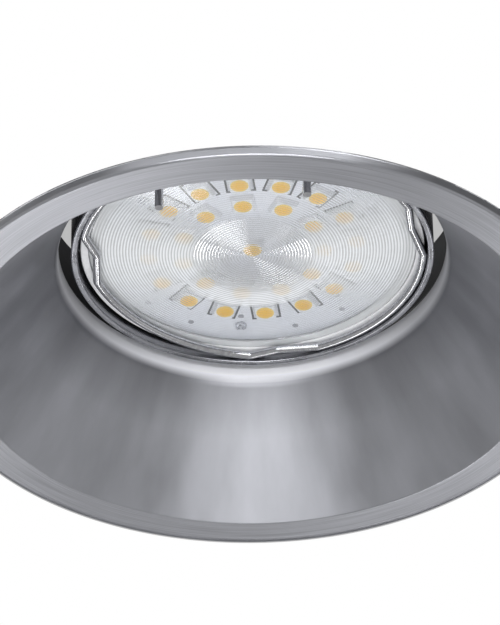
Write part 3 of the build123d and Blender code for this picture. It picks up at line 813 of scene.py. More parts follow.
def repeated(name, tree, shape, finish, values, seed=None):
    """Plain mesh of a shape that a geometry tree repeats."""
    stamp = bpy.data.objects.new(f"{name}_stamp", mesh_of(f"{name}_stamp", shape))
    mesh = grow(name, tree, finish, {**values, "Piece": stamp}, seed)
    bpy.data.objects.remove(stamp)
    return mesh


def ring_of(name, shape, count, radius, azimuth, finish):
    """Plain mesh of a shape repeated round the Z axis."""
    return repeated(name, pieces_in_a_ring, shape, finish, {
        "Count": count, "Radius": radius * MM, "Start": math.radians(azimuth),
    })


def on_spots(name, shape, spots, aims, finish):
    """Plain mesh of a shape repeated on points, each turned to its own aim."""
    seed = bpy.data.meshes.new(f"{name}_spots")
    seed.from_pydata([Vector(spot) * MM for spot in spots], [], [])
    aim = seed.attributes.new("aim", "FLOAT_VECTOR", "POINT")
    aim.data.foreach_set("vector", [value for way in aims for value in way])
    return repeated(name, pieces_on_spots, shape, finish, {}, seed)


def wire_along(name, points, radius, sides, finish):
    """Plain mesh of a round wire along a line of points."""
    line = bpy.data.curves.new(f"{name}_line", "CURVE")
    line.dimensions = "3D"
    spline = line.splines.new("POLY")
    spline.points.add(len(points) - 1)
    for spot, point in zip(spline.points, points):
        spot.co = (*(Vector(point) * MM), 1.0)
    mesh = grow(name, round_wire, finish, {"Wire radius": radius * MM, "Sides": sides}, line)
    return soften(mesh, wire_crease)


# Finishes

def new_finish(name, metallic=0.0, **sockets):
    """New material, with what is the same all over set on the shader's own sockets."""
    finish = bpy.data.materials.new(name)
    finish.use_nodes = True
    shader = finish.node_tree.nodes["Principled BSDF"]
    shader.inputs["Metallic"].default_value = metallic
    for socket, value in sockets.items():
        shader.inputs[socket.replace("_", " ")].default_value = value
    return finish, finish.node_tree, shader


def drive(shader, socket, field):
    """Let an output drive one of a shader's sockets."""
    shader.id_data.links.new(field.socket, shader.inputs[socket])


def dress(shader, pattern, dark, light, roughness, depth=0.0, window=(0.3, 0.7)):
    """Let a pattern drive a shader's colour and roughness, and its relief in millimetres."""
    ramp = pattern.node("ValToRGB", {"Fac": pattern})
    for element, place, colour in zip(ramp.socket.node.color_ramp.elements, window, (dark, light)):
        element.position = place
        element.color = (*colour, 1.0)
    drive(shader, "Base Color", ramp)
    drive(shader, "Roughness", pattern.graded(*window, *roughness))
    if depth:
        relief = {"Height": pattern, "Strength": 1.0, "Distance": depth * MM}
        drive(shader, "Normal", pattern.node("Bump", relief))


def point_in(tree):
    """Where a point lies on its piece."""
    return add(tree, "TexCoord", give="Object")


def by_size(field, first, last, low=0.0, high=1.0):
    """Level that runs from low to high between two sizes in millimetres."""
    return field.graded(first * MM, last * MM, low, high)


def round_axis(point):
    """A point's distance from the Z axis, and its heading from there."""
    flat = point.vector("MULTIPLY", (1, 1, 0))
    return flat.vector("LENGTH", give="Value"), flat.vector("NORMALIZE")


def grain(tree, size, detail=3.0):
    """Even noise whose spots have a size in millimetres."""
    return add(tree, "TexNoise",
               {"Vector": point_in(tree), "Scale": 1 / (size * MM), "Detail": detail})


def turned(tree, radial=0.0, upright=0.0, around=8.0, detail=3.0):
    """Noise drawn out round the Z axis: spots of a radial or an upright size, so many to a turn."""
    point = point_in(tree)
    radius, heading = round_axis(point)
    rise = (radius * (1 / (radial * MM) if radial else 0.0)
            + point.parts()[2] * (1 / (upright * MM) if upright else 0.0))
    return add(tree, "TexNoise", {
        "Vector": scaled(tree, heading, around / 2), "W": rise, "Scale": 1.0, "Detail": detail,
    }, noise_dimensions="4D")


def brushed(name, levels, roughness, depth, anisotropic, **pattern):
    """Bare metal with a turned pattern and its grain laid round the Z axis."""
    finish, tree, shader = new_finish(
        name, 1.0, Anisotropic=anisotropic, Anisotropic_Rotation=grain_turn)
    colours = [grey(level, metal_tint) for level in levels]
    dress(shader, turned(tree, **pattern), *colours, roughness, depth)
    drive(shader, "Tangent", add(tree, "Tangent", direction_type="RADIAL", axis="Z"))
    return finish


def grey(level, tint=0.0):
    """A grey, a little blue where tint is over 0."""
    return (level * (1 - tint / 2), level, level * (1 + tint * 5 / 2))


def satin_cone():
    """Satin cone, darker towards its top by painted shade, whose neck carries a painted highlight,
    lightest on its far side.
    """
    finish = brushed("satin_cone", levels=(0.36, 0.48), roughness=(0.40, 0.50), depth=0.0,
                     anisotropic=0.3, upright=14.0, around=12, detail=4.0)
    tree = finish.node_tree
    shader = tree.nodes["Principled BSDF"]
    point = point_in(tree)
    height = point.parts()[2]
    neck = by_size(height, *painted_neck_highlight)
    # Painted shade: darker towards the cone's top
    top_shade = by_size(height, *cone_top_shade)
    shaded_cone = scaled(tree, Field(shader.inputs["Base Color"].links[0].from_socket), top_shade)
    # Painted highlight: the neck whiter and less metallic, most of all on its far side
    level = round_axis(point)[1].parts()[1].graded(*neck_far_highlight)
    highlight_colour = scaled(tree, grey(1.0, 0.02), level)
    colour = neck.node("Mix", {0: neck, 6: shaded_cone, 7: highlight_colour}, 2, data_type="RGBA")
    drive(shader, "Base Color", colour)
    drive(shader, "Metallic", 1.0 - neck * neck_softness)
    return finish


def zinc_plate():
    """Zinc plate with flakes."""
    finish, tree, shader = new_finish("zinc_plate", 1.0)
    flakes = add(tree, "TexVoronoi",
                 {"Vector": point_in(tree), "Scale": 1 / (flake_size * MM)}, "Color")
    shade = flakes.node("SeparateColor", {0: flakes})
    mixed = shade * flake_share + grain(tree, size=0.4, detail=4.0) * (1 - flake_share)
    dress(shader, mixed, dark=grey(0.46, 0.04), light=grey(0.66, 0.02),
          roughness=(0.26, 0.44), depth=0.004)
    return finish


def grained(name, metallic, detail, dark, light, roughness, size, depth=0.004, **sockets):
    """Metal or moulding with an even grain."""
    finish, tree, shader = new_finish(name, metallic, **sockets)
    dress(shader, grain(tree, size, detail), dark, light, roughness, depth)
    return finish


def clear_lens(name, **sockets):
    """Clear lens with painted shade along its ridge lines, a haze over its sides and its far part
    that paints sheen where light catches the ridges, and a frosted edge.
    """
    finish, tree, shader = new_finish(name, 0.0, IOR=lens_ior, Roughness=lens_roughness, **sockets)
    radius, heading = round_axis(point_in(tree))
    across, beyond, _ = heading.parts()
    pitch = lens_face_radius / lens_ridges
    wave = (radius * (full_turn / (pitch * MM))).maths("SINE")

    def ridged(level, contrast):
        return (wave * contrast + 1.0) * level

    # Painted shade along the ridge lines, and a darker frosted edge
    shade = (1.0 - ridged(by_size(radius, *line_shade), 1.0)) * by_size(radius, *frost_shade)
    drive(shader, "Base Color", scaled(tree, lens_tint, shade))
    # Painted sheen: a whiter veil on the lens's sides and far part
    sides = across.maths("ABSOLUTE").maths("POWER", sheen_haze_power) * by_size(radius, *sheen_haze_sides)
    far_level = by_size(radius, *sheen_haze_far) * by_size(radius, *sheen_haze_far_fade)
    far = beyond.maths("MAXIMUM", 0.0) * far_level
    haze = ridged(sides.maths("MAXIMUM", far) + haze_middle, haze_line_contrast)
    veil = haze.maths("MAXIMUM", by_size(radius, *frost_veil))
    drive(shader, "Transmission Weight", 1.0 - veil)
    return finish


def phosphor_gel():
    """Yellow gel, paler towards its edge."""
    finish, tree, shader = new_finish("phosphor_gel", 0.0, Specular_IOR_Level=0.2)
    height = point_in(tree).parts()[2]
    edge = by_size(height, phosphor_low.z, phosphor_low.z + phosphor_dome)
    dress(shader, edge + grain(tree, size=0.5) * phosphor_mottle, dark=(1.0, 0.55, 0.0),
          light=(1.0, 0.70, 0.16), roughness=(0.30, 0.45), window=(0.2, 1.0))
    return finish


# Each with its dark and light colour, roughness, size of grain and relief
metals = {
    # Painted shade: the well inside the collar is near black
    "dark_well": (grey(0.03, 0.03), grey(0.06, 0.03), (0.5, 0.62), 0.8, 0.006),
    "spring_wire": (grey(0.50, 0.02), grey(0.66, 0.01), (0.08, 0.16), 0.5, 0.002),
    "spring_steel": (grey(0.30, 0.03), grey(0.44, 0.02), (0.22, 0.36), 0.4),
    "fastener_steel": (grey(0.52, 0.03), grey(0.70, 0.02), (0.20, 0.34), 0.5),
    "sink_metal": (grey(0.52, 0.01), grey(0.66, 0.01), (0.34, 0.50), 0.7, 0.012),
    "pin_nickel": ((0.56, 0.53, 0.47), (0.68, 0.65, 0.58), (0.16, 0.28), 0.6),
    "choke_copper": ((0.50, 0.22, 0.10), (0.66, 0.32, 0.16), (0.28, 0.42), 0.4),
    "contact_brass": ((0.60, 0.44, 0.18), (0.74, 0.57, 0.27), (0.24, 0.38), 0.6),
}
mouldings = {
    "nylon": ((0.70, 0.69, 0.64), (0.80, 0.79, 0.74), (0.40, 0.52), 0.5, 0.006),
    "sleeve_rubber": (grey(0.030), grey(0.055), (0.55, 0.72), 0.35, 0.012),
    "board_white": (grey(0.86, 0.02), grey(0.92, 0.02), (0.30, 0.42), 1.2, 0.003),
    "led_white": (grey(0.92, 0.01), grey(0.96, 0.01), (0.30, 0.42), 0.6, 0.002),
    "rim_white": (grey(0.80, 0.01), grey(0.88, 0.01), (0.30, 0.42), 0.8, 0.003),
    "base_white": (grey(0.58), grey(0.65), (0.34, 0.46), 0.4, 0.006),
    "driver_green": ((0.02, 0.14, 0.06), (0.04, 0.22, 0.09), (0.35, 0.5), 0.8, 0.004),
    "driver_black": (grey(0.035), grey(0.06), (0.4, 0.55), 0.5, 0.006),
    "cover_black": (grey(0.022), grey(0.040), (0.42, 0.58), 0.30, 0.012),
    "grommet_rubber": (grey(0.05), grey(0.08), (0.58, 0.74), 0.4, 0.010),
    "mark_ink": (grey(0.025, 0.03), grey(0.05, 0.03), (0.5, 0.6), 0.3, 0.0),
    "dot_grey": (grey(0.30, 0.03), grey(0.42, 0.03), (0.4, 0.5), 0.3, 0.0),
}
finishes = {
    "brushed_flange": brushed("brushed_flange", levels=(0.35, 0.50), roughness=(0.28, 0.38),
                              depth=0.002, anisotropic=0.7, radial=0.16, around=7, detail=4.0),
    "satin_cone": satin_cone(),
    "cast_back": grained("cast_back", metallic=1.0, detail=6.0, dark=grey(0.38, 0.02),
                         light=grey(0.56, 0.02), roughness=(0.38, 0.58), size=0.9, depth=0.02),
    "ring_metal": brushed("ring_metal", levels=(0.30, 0.44), roughness=(0.22, 0.34), depth=0.003,
                          anisotropic=0.0, upright=0.25, around=14),
    "zinc_steel": zinc_plate(),
    "clear_lens": clear_lens("clear_lens"),
    "clear_middle": clear_lens("clear_middle", Coat_Weight=1.0, Coat_IOR=2.3),
    "clear_back": grained("clear_back", metallic=0.0, detail=2.0, dark=grey(0.97, 0.01),
                          light=grey(0.99, 0.01), roughness=(0.01, 0.03), size=3.0, depth=0.0,
                          IOR=lens_ior, Transmission_Weight=1.0),
    "led_yellow": phosphor_gel(),
    "white_ceramic": grained("white_ceramic", metallic=0.0, detail=4.0, dark=(0.60, 0.59, 0.55),
                             light=(0.68, 0.67, 0.63), roughness=(0.18, 0.30), size=2.5, depth=0.01,
                             Coat_Weight=0.5),
    **{name: grained(name, 1.0, metal_detail, *values) for name, values in metals.items()},
    **{name: grained(name, 0.0, moulding_detail, *values) for name, values in mouldings.items()},
}


# Trim: brushed flange, satin cone and cast back

def outer_cone(height):
    """Radius of the cone's outer wall at a height."""
    return mouth_radius + cone_thickness - height * cone_slope


FLANGE, CONE, WELL, BACK = range(4)


def trim_finish(radius, height):
    """Which of the trim's finishes lies at a point of its outline."""
    if height < flange_thickness and radius > mouth_radius - mouth_edge_round:
        return FLANGE
    inner_wall = max(throat_radius + casting_round, outer_cone(height) - cone_thickness / 2)
    if height < lip_top - lip_round and radius < inner_wall:
        return CONE
    # Inside the collar: a near-black finish that paints the shade there
    return WELL if radius < collar_inner_radius + collar_wall / 4 else BACK


trim = lathe([
    (mouth_radius, 0, mouth_edge_round),
    (flange_radius, 0, flange_edge_round),
    (flange_radius, flange_thickness, flange_edge_round),
    (spigot_radius, flange_thickness, casting_round),
    (spigot_radius, spigot_top, casting_round),
    (outer_cone(spigot_top), spigot_top, 0),
    (collar_outer_radius, (outer_cone(0) - collar_outer_radius) / cone_slope, casting_round),
    (collar_outer_radius, collar_top, collar_edge),
    (collar_inner_radius, collar_top, collar_edge),
    (collar_inner_radius, lip_top, casting_round),
    (throat_radius, lip_top, lip_round),
    (throat_radius, throat_corner_height, neck_round),
], segments=flange_sides, finish_of=trim_finish)
pad_back = collar_outer_radius - pad_root
pad_angle = math.degrees(math.asin(pad_half_width / pad_back))
pad = [(pad_face, -pad_half_width), (pad_face, pad_half_width),
       *arc(pad_back, pad_angle, -pad_angle, arc_steps)]
for half_turn in (0, math.pi):
    place = Matrix.Rotation(half_turn, 4, "Z")
    prism(pad, pad_top - pad_height, pad_top, place, mild_round, BACK, trim)
keep("trim", trim, "housing", "trim_cone",
     "brushed_flange", "satin_cone", "dark_well", "cast_back", slot="satin_metal")

# Lamp ring
shoulder_radius = ring_inner_radius - shoulder_width
shoulder_back = shoulder_front + shoulder_thickness
keep("lamp_ring_band", lathe(walls(
    (ring_outer_radius, ring_low.z, ring_edge_round, ring_high.z, ring_edge_round),
    (ring_inner_radius, ring_high.z, ring_edge_round, shoulder_back, fine_round),
    (shoulder_radius, shoulder_back, ring_edge_round, shoulder_front, ring_edge_round),
    (ring_inner_radius, shoulder_front, fine_round, ring_low.z, ring_edge_round),
    solid=False,
), segments=flange_sides), "gimbal", "lamp_ring", "ring_metal")

# Pivots: stud, spacer and toothed retainer at the front and the back
spacer_start = ring_outer_radius + pivot_flange_thickness
spacer_end = math.sqrt(collar_inner_radius**2 - spacer_radius**2) - pivot_gap
retainer_start = collar_outer_radius + pivot_gap
retainer_end = retainer_start + retainer_thickness
stud_end = retainer_end + pivot_end_length
tooth_pitch = 360 / retainer_tooth_count
studs, spacers, retainers = bmesh.new(), bmesh.new(), bmesh.new()
for way in (1, -1):
    place = frame_at((0, 0, pivot_height), (1, 0, 0), (0, 0, way))
    lathe(walls(
        (pivot_root_radius, ring_inner_radius, 0, ring_outer_radius, 0),
        (pivot_flange_radius, ring_outer_radius, fine_round, spacer_start, thin_round),
        (pivot_radius, spacer_start, 0, stud_end, pivot_end_round),
    ), pivot_sides, place, studs)
    lathe(walls(
        (spacer_radius, spacer_start, small_round, spacer_end, small_round),
        (pivot_radius + spacer_play, spacer_end, hair_round, spacer_start, hair_round),
        solid=False,
    ), pivot_sides, place, spacers)
    teeth = []
    for k in range(retainer_tooth_count):
        for (first, last), depth, steps in (
            (tooth_shares, tooth_play, tooth_steps), (notch_shares, notch_depth, notch_steps),
        ):
            ends = tooth_pitch * (k + first), tooth_pitch * (k + last)
            teeth += arc(pivot_radius + depth, *ends, steps)
    rim = arc(retainer_radius, 0, 360, pin_sides)[:-1]
    own = bmesh.new()
    low_in, high_in, low_out, high_out = (
        [own.verts.new((*p, height)) for p in outline]
        for outline in (teeth, rim) for height in (retainer_start, retainer_end))
    wall(own, low_in, high_in)
    wall(own, low_out, high_out)
    for corners in ({*low_in, *low_out}, {*high_in, *high_out}):
        loops = [e for e in own.edges if corners.issuperset(e.verts)]
        bmesh.ops.triangle_fill(own, use_beauty=True, edges=loops)
    ease(own, thin_edge)
    merge(retainers, own, place)
keep("pivot_stud_pair", studs, "gimbal", "pivot_studs", "fastener_steel")
keep("pivot_spacer_pair", spacers, "gimbal", "pivot_spacers", "nylon")
keep("pivot_retainer_pair", retainers, "gimbal", "pivot_retainers", "zinc_steel")


# Retaining wire: an open hoop with three inward kinks and two fingers bent down

def on_wire(radius, azimuth):
    """Point at the wire's height."""
    return polar(radius, azimuth, wire_height)


def finger(azimuth, sign):
    """Bend and tip of the finger at one end of the hoop."""
    bend = on_wire(hoop_radius, azimuth) + polar(sign * finger_bend_radius, azimuth + 90)
    tip = Vector((bend.x, bend.y, wire_height - finger_drop))
    return [(bend, finger_bend_radius * finger_bend_share), (tip, 0)]


def hoop_arc(first, last):
    """Points of the hoop's round between two azimuths, without its ends."""
    count = int((last - first) / hoop_step)
    return [(on_wire(hoop_radius, first + (last - first) * k / count), 0) for k in range(1, count)]


def slack_arc(first, last):
    """Points of the flatter run between two corners, without its ends."""
    across = on_wire(ring_inner_radius - slack_reach, slack_azimuth)
    centre, radius = circle_through(first.xy, across.xy, last.xy)
    start, end = (math.degrees(math.atan2(p.y - centre.y, p.x - centre.x)) for p in (first, last))
    sweep = (end - start) % 360
    points = arc(radius, start, start + sweep, int(sweep / hoop_step), centre)
    return [(Vector((*p, wire_height)), 0) for p in points[1:-1]]


hoop_start = wire_gap_azimuth + wire_gap_half_angle
hoop_end = wire_gap_azimuth + 360 - wire_gap_half_angle
run_radii = (hoop_radius, hoop_radius, ring_inner_radius - slack_end_reach)
run_azimuths = [azimuth - run for azimuth, run in zip(kink_azimuths, kink_run_angles)]
step_azimuths = [azimuth + step for azimuth, step in zip(kink_azimuths, kink_step_angles)]
kinks = [
    [(on_wire(run_radius, run), kink_corner_round),
     (on_wire(ring_inner_radius - reach, azimuth), kink_corner_round),
     (on_wire(hoop_radius, step), kink_corner_round)]
    for run_radius, run, reach, azimuth, step in zip(
        run_radii, run_azimuths, kink_reaches, kink_azimuths, step_azimuths)
]
wire_line = rounded_path([
    *finger(hoop_start, -1)[::-1],
    (on_wire(hoop_radius, hoop_start), 0),
    *hoop_arc(hoop_start, run_azimuths[0]),
    *kinks[0],
    *hoop_arc(step_azimuths[0], run_azimuths[1]),
    *kinks[1],
    *slack_arc(kinks[1][2][0], kinks[2][0][0]),
    *kinks[2],
    *hoop_arc(step_azimuths[2], hoop_end),
    (on_wire(hoop_radius, hoop_end), 0),
    *finger(hoop_end, 1),
])
hoop = wire_along("retaining_wire_hoop", wire_line, wire_radius, hoop_sides, "spring_wire")
keep("retaining_wire_hoop", hoop, "wire", "retaining_wire", "spring_wire")


# Lens: ridged in front, clearer in the middle, plain behind

RIDGED, MIDDLE, PLAIN = range(3)


def lens_dome(radius):
    """Height of the lens's front at a radius."""
    return lens_low.z + lens_bulge * (radius / lens_face_radius) ** 2


def lens_finish(radius, height):
    """Ridged in front, plain behind."""
    middle = lens_dome(min(radius, lens_face_radius)) + lens_thickness / 2
    return PLAIN if height > middle else RIDGED


lens_mesh = grow("ridged_face", ridged_face, "clear_lens", {
    "Radius": lens_face_radius * MM, "Height": lens_low.z * MM, "Bulge": lens_bulge * MM,
    "Ridges": lens_ridges, "Slope": lens_ridge_slope, "Edge slope": lens_edge_slope,
    "Segments": lens_segments,
})
lens = bmesh.new()
lens.from_mesh(lens_mesh)
bmesh.ops.scale(lens, vec=(1 / MM, 1 / MM, 1 / MM), verts=lens.verts)
for face in lens.faces:
    radius = face.calc_center_median().xy.length
    face.material_index = MIDDLE if radius < lens_middle_radius else RIDGED
bpy.data.meshes.remove(lens_mesh)
dome_radii = [lens_face_radius * (1 - k / dome_steps) for k in range(dome_steps + 1)]
lathe([
    (lens_face_radius, lens_front, 0),
    (lens_radius, lens_front, hair_round),
    (lens_radius, lens_high.z, hair_round),
    *[(radius, lens_dome(radius) + lens_thickness, 0) for radius in dome_radii],
], lens_segments, shape=lens, finish_of=lens_finish, closed=False)
keep("lens", lens, "lamp", "lamp_lens", "clear_lens", "clear_middle", "clear_back",
     crease=lens_crease)

# LED board, LEDs, their yellow windows, printed brackets and dots, and screws
board_sides = (board_high.x, board_low.z, fine_round, board_high.z, fine_round)
keep("board", lathe(walls(board_sides)), "lamp", "led_board", "board_white")


def led_shape():
    """LED package: square case with eased edges that narrows to its front."""
    half = led_side / 2
    case = rectangle(-half, half, half, thin_round)
    own = prism(case, package_low.z, package_high.z, edge=hair_round)
    for vert in own.verts:
        if vert.co.z < (package_low.z + package_high.z) / 2:
            vert.co.xy *= led_draft
    return own


def phosphor_shape():
    """Yellow window: a low dome."""
    dome = [(phosphor_radius * out, phosphor_low.z + phosphor_dome * up, 0)
            for out, up in phosphor_profile]
    base = [(phosphor_radius, phosphor_high.z, 0), (0, phosphor_high.z, 0)]
    return lathe(dome + base, window_sides)


def bracket_shape():
    """Printed pair of hooked lines, one on each side of an LED."""
    own = bmesh.new()
    half, end = bracket_mark_width / 2, bracket_mark_half_length
    inner_end = end - bracket_mark_width
    for sign in (-1, 1):
        back, inside, hook = (
            sign * (bracket_mark_gap + step) for step in (half, -half, -bracket_mark_hook))
        line = [(-end, hook), (-end, back), (end, back), (end, hook),
                (inner_end, hook), (inner_end, inside), (-inner_end, inside), (-inner_end, hook)]
        prism(line, board_low.z - mark_height, board_low.z, shape=own)
    return own


for name, make, node, finish in (("led_cases", led_shape, "led_packages", "led_white"),
                                 ("led_windows", phosphor_shape, "led_phosphors", "led_yellow")):
    keep(name, [
        ring_of(f"{name}_outer", make(), *outer_leds, finish),
        ring_of(f"{name}_inner", make(), *inner_leds, finish),
        mesh_of(f"{name}_centre", make()),
    ], "lamp", node, finish)
marks = ring_of("mark_ring", bracket_shape(), *outer_leds, "mark_ink")
keep("board_marks", [marks], "lamp", None, "mark_ink", slot="driver_black")

dot = prism(arc(dot_radius, 0, 360, dot_sides)[:-1], -mark_height, 0)
dot_azimuths, screw_azimuths = (
    [azimuth + 360 * k / count for k in range(count)]
    for count, _, azimuth in (outer_dots, board_screw_ring))
dot_spots = [polar(*inner_dot, board_low.z)] + [
    polar(outer_dots[1], azimuth, board_low.z) for azimuth in dot_azimuths
    if min(abs((azimuth - other + 180) % 360 - 180) for other in screw_azimuths) > dot_screw_angle
]
dots = on_spots("dot_spots", dot, dot_spots, [(1, 0, 0)] * len(dot_spots), "dot_grey")
keep("board_dots", [dots], "lamp", None, "dot_grey", slot="driver_black")


def slotted_screw(radius, head_radius, head_height, depth, through=0.0):
    """Screw along X: domed head with a drive slot, and a plain shank behind it."""
    place = frame_at((0, 0, 0), (0, 1, 0), (0, 0, 1))
    screw = lathe(walls(
        (radius, -depth - through, thin_round, 0, 0),
        (head_radius, 0, hair_round, head_height, head_dome_share * head_height),
    ), pin_sides, place)
    bar = rectangle(-drive_slot_width / 2, drive_slot_width / 2, 2 * head_radius)
    return cut(screw, prism(bar, drive_slot_share * head_height, 2 * head_height, place))


def screw_set(name, sizes, through, spots, aims, body, node):
    """Keep screws that sit on spots, each with its head along its aim."""
    screws = on_spots(name, slotted_screw(*sizes, through), spots, aims, "fastener_steel")
    keep(name, [screws], body, node, "fastener_steel")


board_screw = slotted_screw(*board_screw_sizes)
head_down = Matrix.Rotation(math.pi / 2, 4, "Y")
bmesh.ops.transform(board_screw, matrix=head_down, verts=board_screw.verts)
bmesh.ops.translate(board_screw, vec=(0, 0, board_low.z), verts=board_screw.verts)
board_screws = ring_of("board_screw_ring", board_screw, *board_screw_ring, "fastener_steel")
keep("board_screw_heads", [board_screws], "lamp", "board_screws", "fastener_steel")

# Lamp body: turned rim, cup and core, with a ring of fins
bow_start, bow_end = Vector((sink_shoulder_radius, rim_back)), Vector((sink_top_radius, sink_top))
bow_middle = (bow_start + bow_end) / 2 + Vector((sink_bow, 0))
bow_centre, bow_radius = circle_through(bow_start, bow_middle, bow_end)


def bow(height):
    """Radius of the sink's bowed outline at a height."""
    return bow_centre.x + math.sqrt(bow_radius**2 - (height - bow_centre.y) ** 2)


SINK, RIM = range(2)


def body_finish(radius, height):
    """White inside the cup and on the rim's front, bare metal behind."""
    white = height < board_high.z + lens_seat_gap and radius < lamp_radius - lens_seat_gap
    return RIM if white else SINK


bow_heights = [rim_back + fin_slot_rise * k / bow_steps for k in range(bow_steps)]
cavity_floor = board_high.z + sink_floor
body = lathe([
    (0, board_high.z, 0),
    (cup_radius, board_high.z, thin_round),
    (cup_radius, lens_high.z, hair_round),
    (lens_radius + lens_seat_gap, lens_high.z, 0),
    (lens_radius + lens_seat_gap, rim_front, fine_round),
    (lamp_radius, rim_front, small_round),
    (lamp_radius, rim_back, mild_round),
    *[(bow(height), height, 0) for height in bow_heights],
    (bow(fin_slot_bottom), fin_slot_bottom, small_round),
    (core_radius, fin_slot_bottom, deep_round),
    (core_radius, sink_top, thin_round),
    (cavity_radius, sink_top, thin_round),
    (cavity_radius, cavity_floor, small_round),
    (0, cavity_floor, 0),
], finish_of=body_finish)


def fin_shape():
    """One fin along X: a wedge between two slots, with the sink's bowed outer edge."""
    own = bmesh.new()
    half_turn, half_slot = math.pi / fin_count, fin_slot_width / 2
    inner, bottom = core_radius - fin_root, fin_slot_bottom - fin_root
    inner_half = inner * math.tan(half_turn) - half_slot / math.cos(half_turn)
    grid = []
    for k in range(fin_levels + 1):
        height = bottom + (sink_top - bottom) * k / fin_levels
        outer = bow(height)
        edge_turn = math.degrees(half_turn - math.asin(half_slot / outer))
        edge = arc(outer, -edge_turn, edge_turn, fin_steps)
        row = [(inner, -inner_half), *edge, (inner, inner_half)]
        grid.append([own.verts.new((*p, height)) for p in row])
    for low, high in zip(grid, grid[1:]):
        wall(own, low, high)
    own.faces.new(grid[0][::-1])
    own.faces.new(grid[-1])
    ease(own, fin_round)
    bmesh.ops.translate(own, vec=(-core_radius, 0, 0), verts=own.verts)
    return own


fins = ring_of("sink_fins", fin_shape(), fin_count, core_radius, 180 / fin_count, "sink_metal")
keep("finned_body", [mesh_of("body_core", body), fins], "lamp", "lamp_body",
     "sink_metal", "rim_white")

# Lamp base with its two headed pins
taper_bottom = sink_top + base_skirt_height
neck_bottom = taper_bottom + base_taper_height
spigot_inner = base_spigot_radius - base_spigot_wall
keep("base_plug", lathe(walls(
    (base_neck_radius, base_end, base_end_round, neck_bottom, wide_round),
    (sink_top_radius, taper_bottom, wide_round, sink_top, base_foot_round),
    (base_spigot_radius, sink_top, 0, base_low.z, thin_round),
    (spigot_inner, base_low.z, thin_round, base_end - base_roof, soft_round),
), segments=holder_sides), "lamp", "lamp_base", "base_white")

head_bottom = pins_high.z - pin_head_height
pin = lathe(walls(
    (pin_neck_radius, pins_low.z, small_round, head_bottom, thin_round),
    (pin_head_radius, head_bottom, small_round, pins_high.z, soft_round),
), segments=pin_sides)
pin_circle = pin_spacing / 2
pin_spots = [(side * pin_circle, 0, 0) for side in (-1, 1)]
keep("headed_pins", [on_spots("pin_pair", pin, pin_spots, [(1, 0, 0)] * 2, "pin_nickel")],
     "lamp", "base_pins", "pin_nickel")

# Lampholder: ceramic front with two curved slots, ceramic back, cover, screws, grommet
holder_inner = holder_radius - holder_wall
plate_top = front_low.z + holder_plate
front = lathe(walls(
    (holder_radius, front_low.z, holder_edge_round, front_high.z, small_round),
    (holder_inner, front_high.z, small_round, plate_top, soft_round),
), segments=holder_sides)
slots, tails = bmesh.new(), bmesh.new()
narrow, wide = pin_neck_radius + slot_clearance, pin_head_radius + slot_clearance
for turn in (0, 180):
    entry_turn = turn - twist_angle
    slot = [
        *arc(pin_circle + narrow, entry_turn, turn, arc_steps),
        *arc(narrow, turn, turn + 180, arc_steps, polar(pin_circle, turn))[1:-1],
        *arc(pin_circle - narrow, turn, entry_turn, arc_steps),
    ]
    entry_centre = polar(pin_circle, entry_turn)
    entry = arc(wide, entry_turn + 180, entry_turn + 540, entry_sides, entry_centre)[:-1]
    for outline in (slot, entry):
        prism(outline, front_low.z - slot_reach, plate_top + slot_reach, shape=slots)
keep("ceramic_front", cut(front, slots), "lampholder", "holder_front", "white_ceramic")

back_spigot_radius = holder_inner - back_spigot_gap
back_step = back_low.z + back_spigot
back = lathe(walls(
    (back_spigot_radius, back_low.z, mild_round, back_step, hair_round),
    (holder_radius, back_step, small_round, back_high.z, soft_round),
), segments=holder_sides)
for x in (-pin_circle, pin_circle):
    prism(rectangle(x - tail_half_width, x + tail_half_width, tail_half_length),
          back_low.z - slot_reach, back_high.z + slot_reach, shape=tails)
keep("ceramic_back", cut(back, tails), "lampholder", "holder_back", "white_ceramic")

cover_inner = holder_radius - cover_wall
roof_bottom = cover_high.z - cover_roof
keep("cover", lathe(walls(
    (inlet_neck_radius, cover_high.z, 0, roof_bottom, 0),
    (cover_inner, roof_bottom, deep_round, cover_low.z, thin_round),
    (holder_radius, cover_low.z, small_round, cover_high.z, cover_edge_round),
    solid=False,
), segments=holder_sides), "lampholder", "holder_cover", "cover_black")

cover_spots = [(0, side * cover_screw_offset, cover_high.z) for side in (-1, 1)]
screw_set("cover_screw_pair", cover_screw_sizes, cover_high.z - cover_low.z,
          cover_spots, [(0, 0, 1)] * 2, "lampholder", "cover_screws")

inlet_flange_radius = grommet_high.x
inlet_neck_low = grommet_low.z + inlet_lower_flange
inlet_neck_high = grommet_high.z - inlet_upper_flange
keep("grommet", lathe(walls(
    (inlet_flange_radius, grommet_low.z, inlet_lower_round, inlet_neck_low, inlet_lower_round),
    (inlet_neck_radius, inlet_neck_low, hair_round, inlet_neck_high, hair_round),
    (inlet_flange_radius, inlet_neck_high, mild_round, grommet_high.z, inlet_upper_round),
    (inlet_bore_radius, grommet_high.z, soft_round, grommet_low.z, small_round),
    solid=False,
), segments=inlet_sides), "lampholder", "inlet_grommet", "grommet_rubber")

# Clips: bracket, hinge pin, arm, sleeve and spring, the left one in the mirror
hinge = Vector((hinge_x, 0, hinge_height))
arm_turn = math.radians(arm_slope)
arm_out = Vector((math.cos(arm_turn), 0, -math.sin(arm_turn)))
arm_up = Vector((math.sin(arm_turn), 0, math.cos(arm_turn)))
hinge_place = frame_at(hinge, (1, 0, 0), (0, 0, 1))
arm_place = frame_at(hinge, arm_out, arm_up)
plate_place = frame_at(hinge, arm_out, (0, 1, 0))
foot_place = frame_at((pad_face, 0, (bracket_low.z + bracket_high.z) / 2), (0, 1, 0), (0, 0, 1))


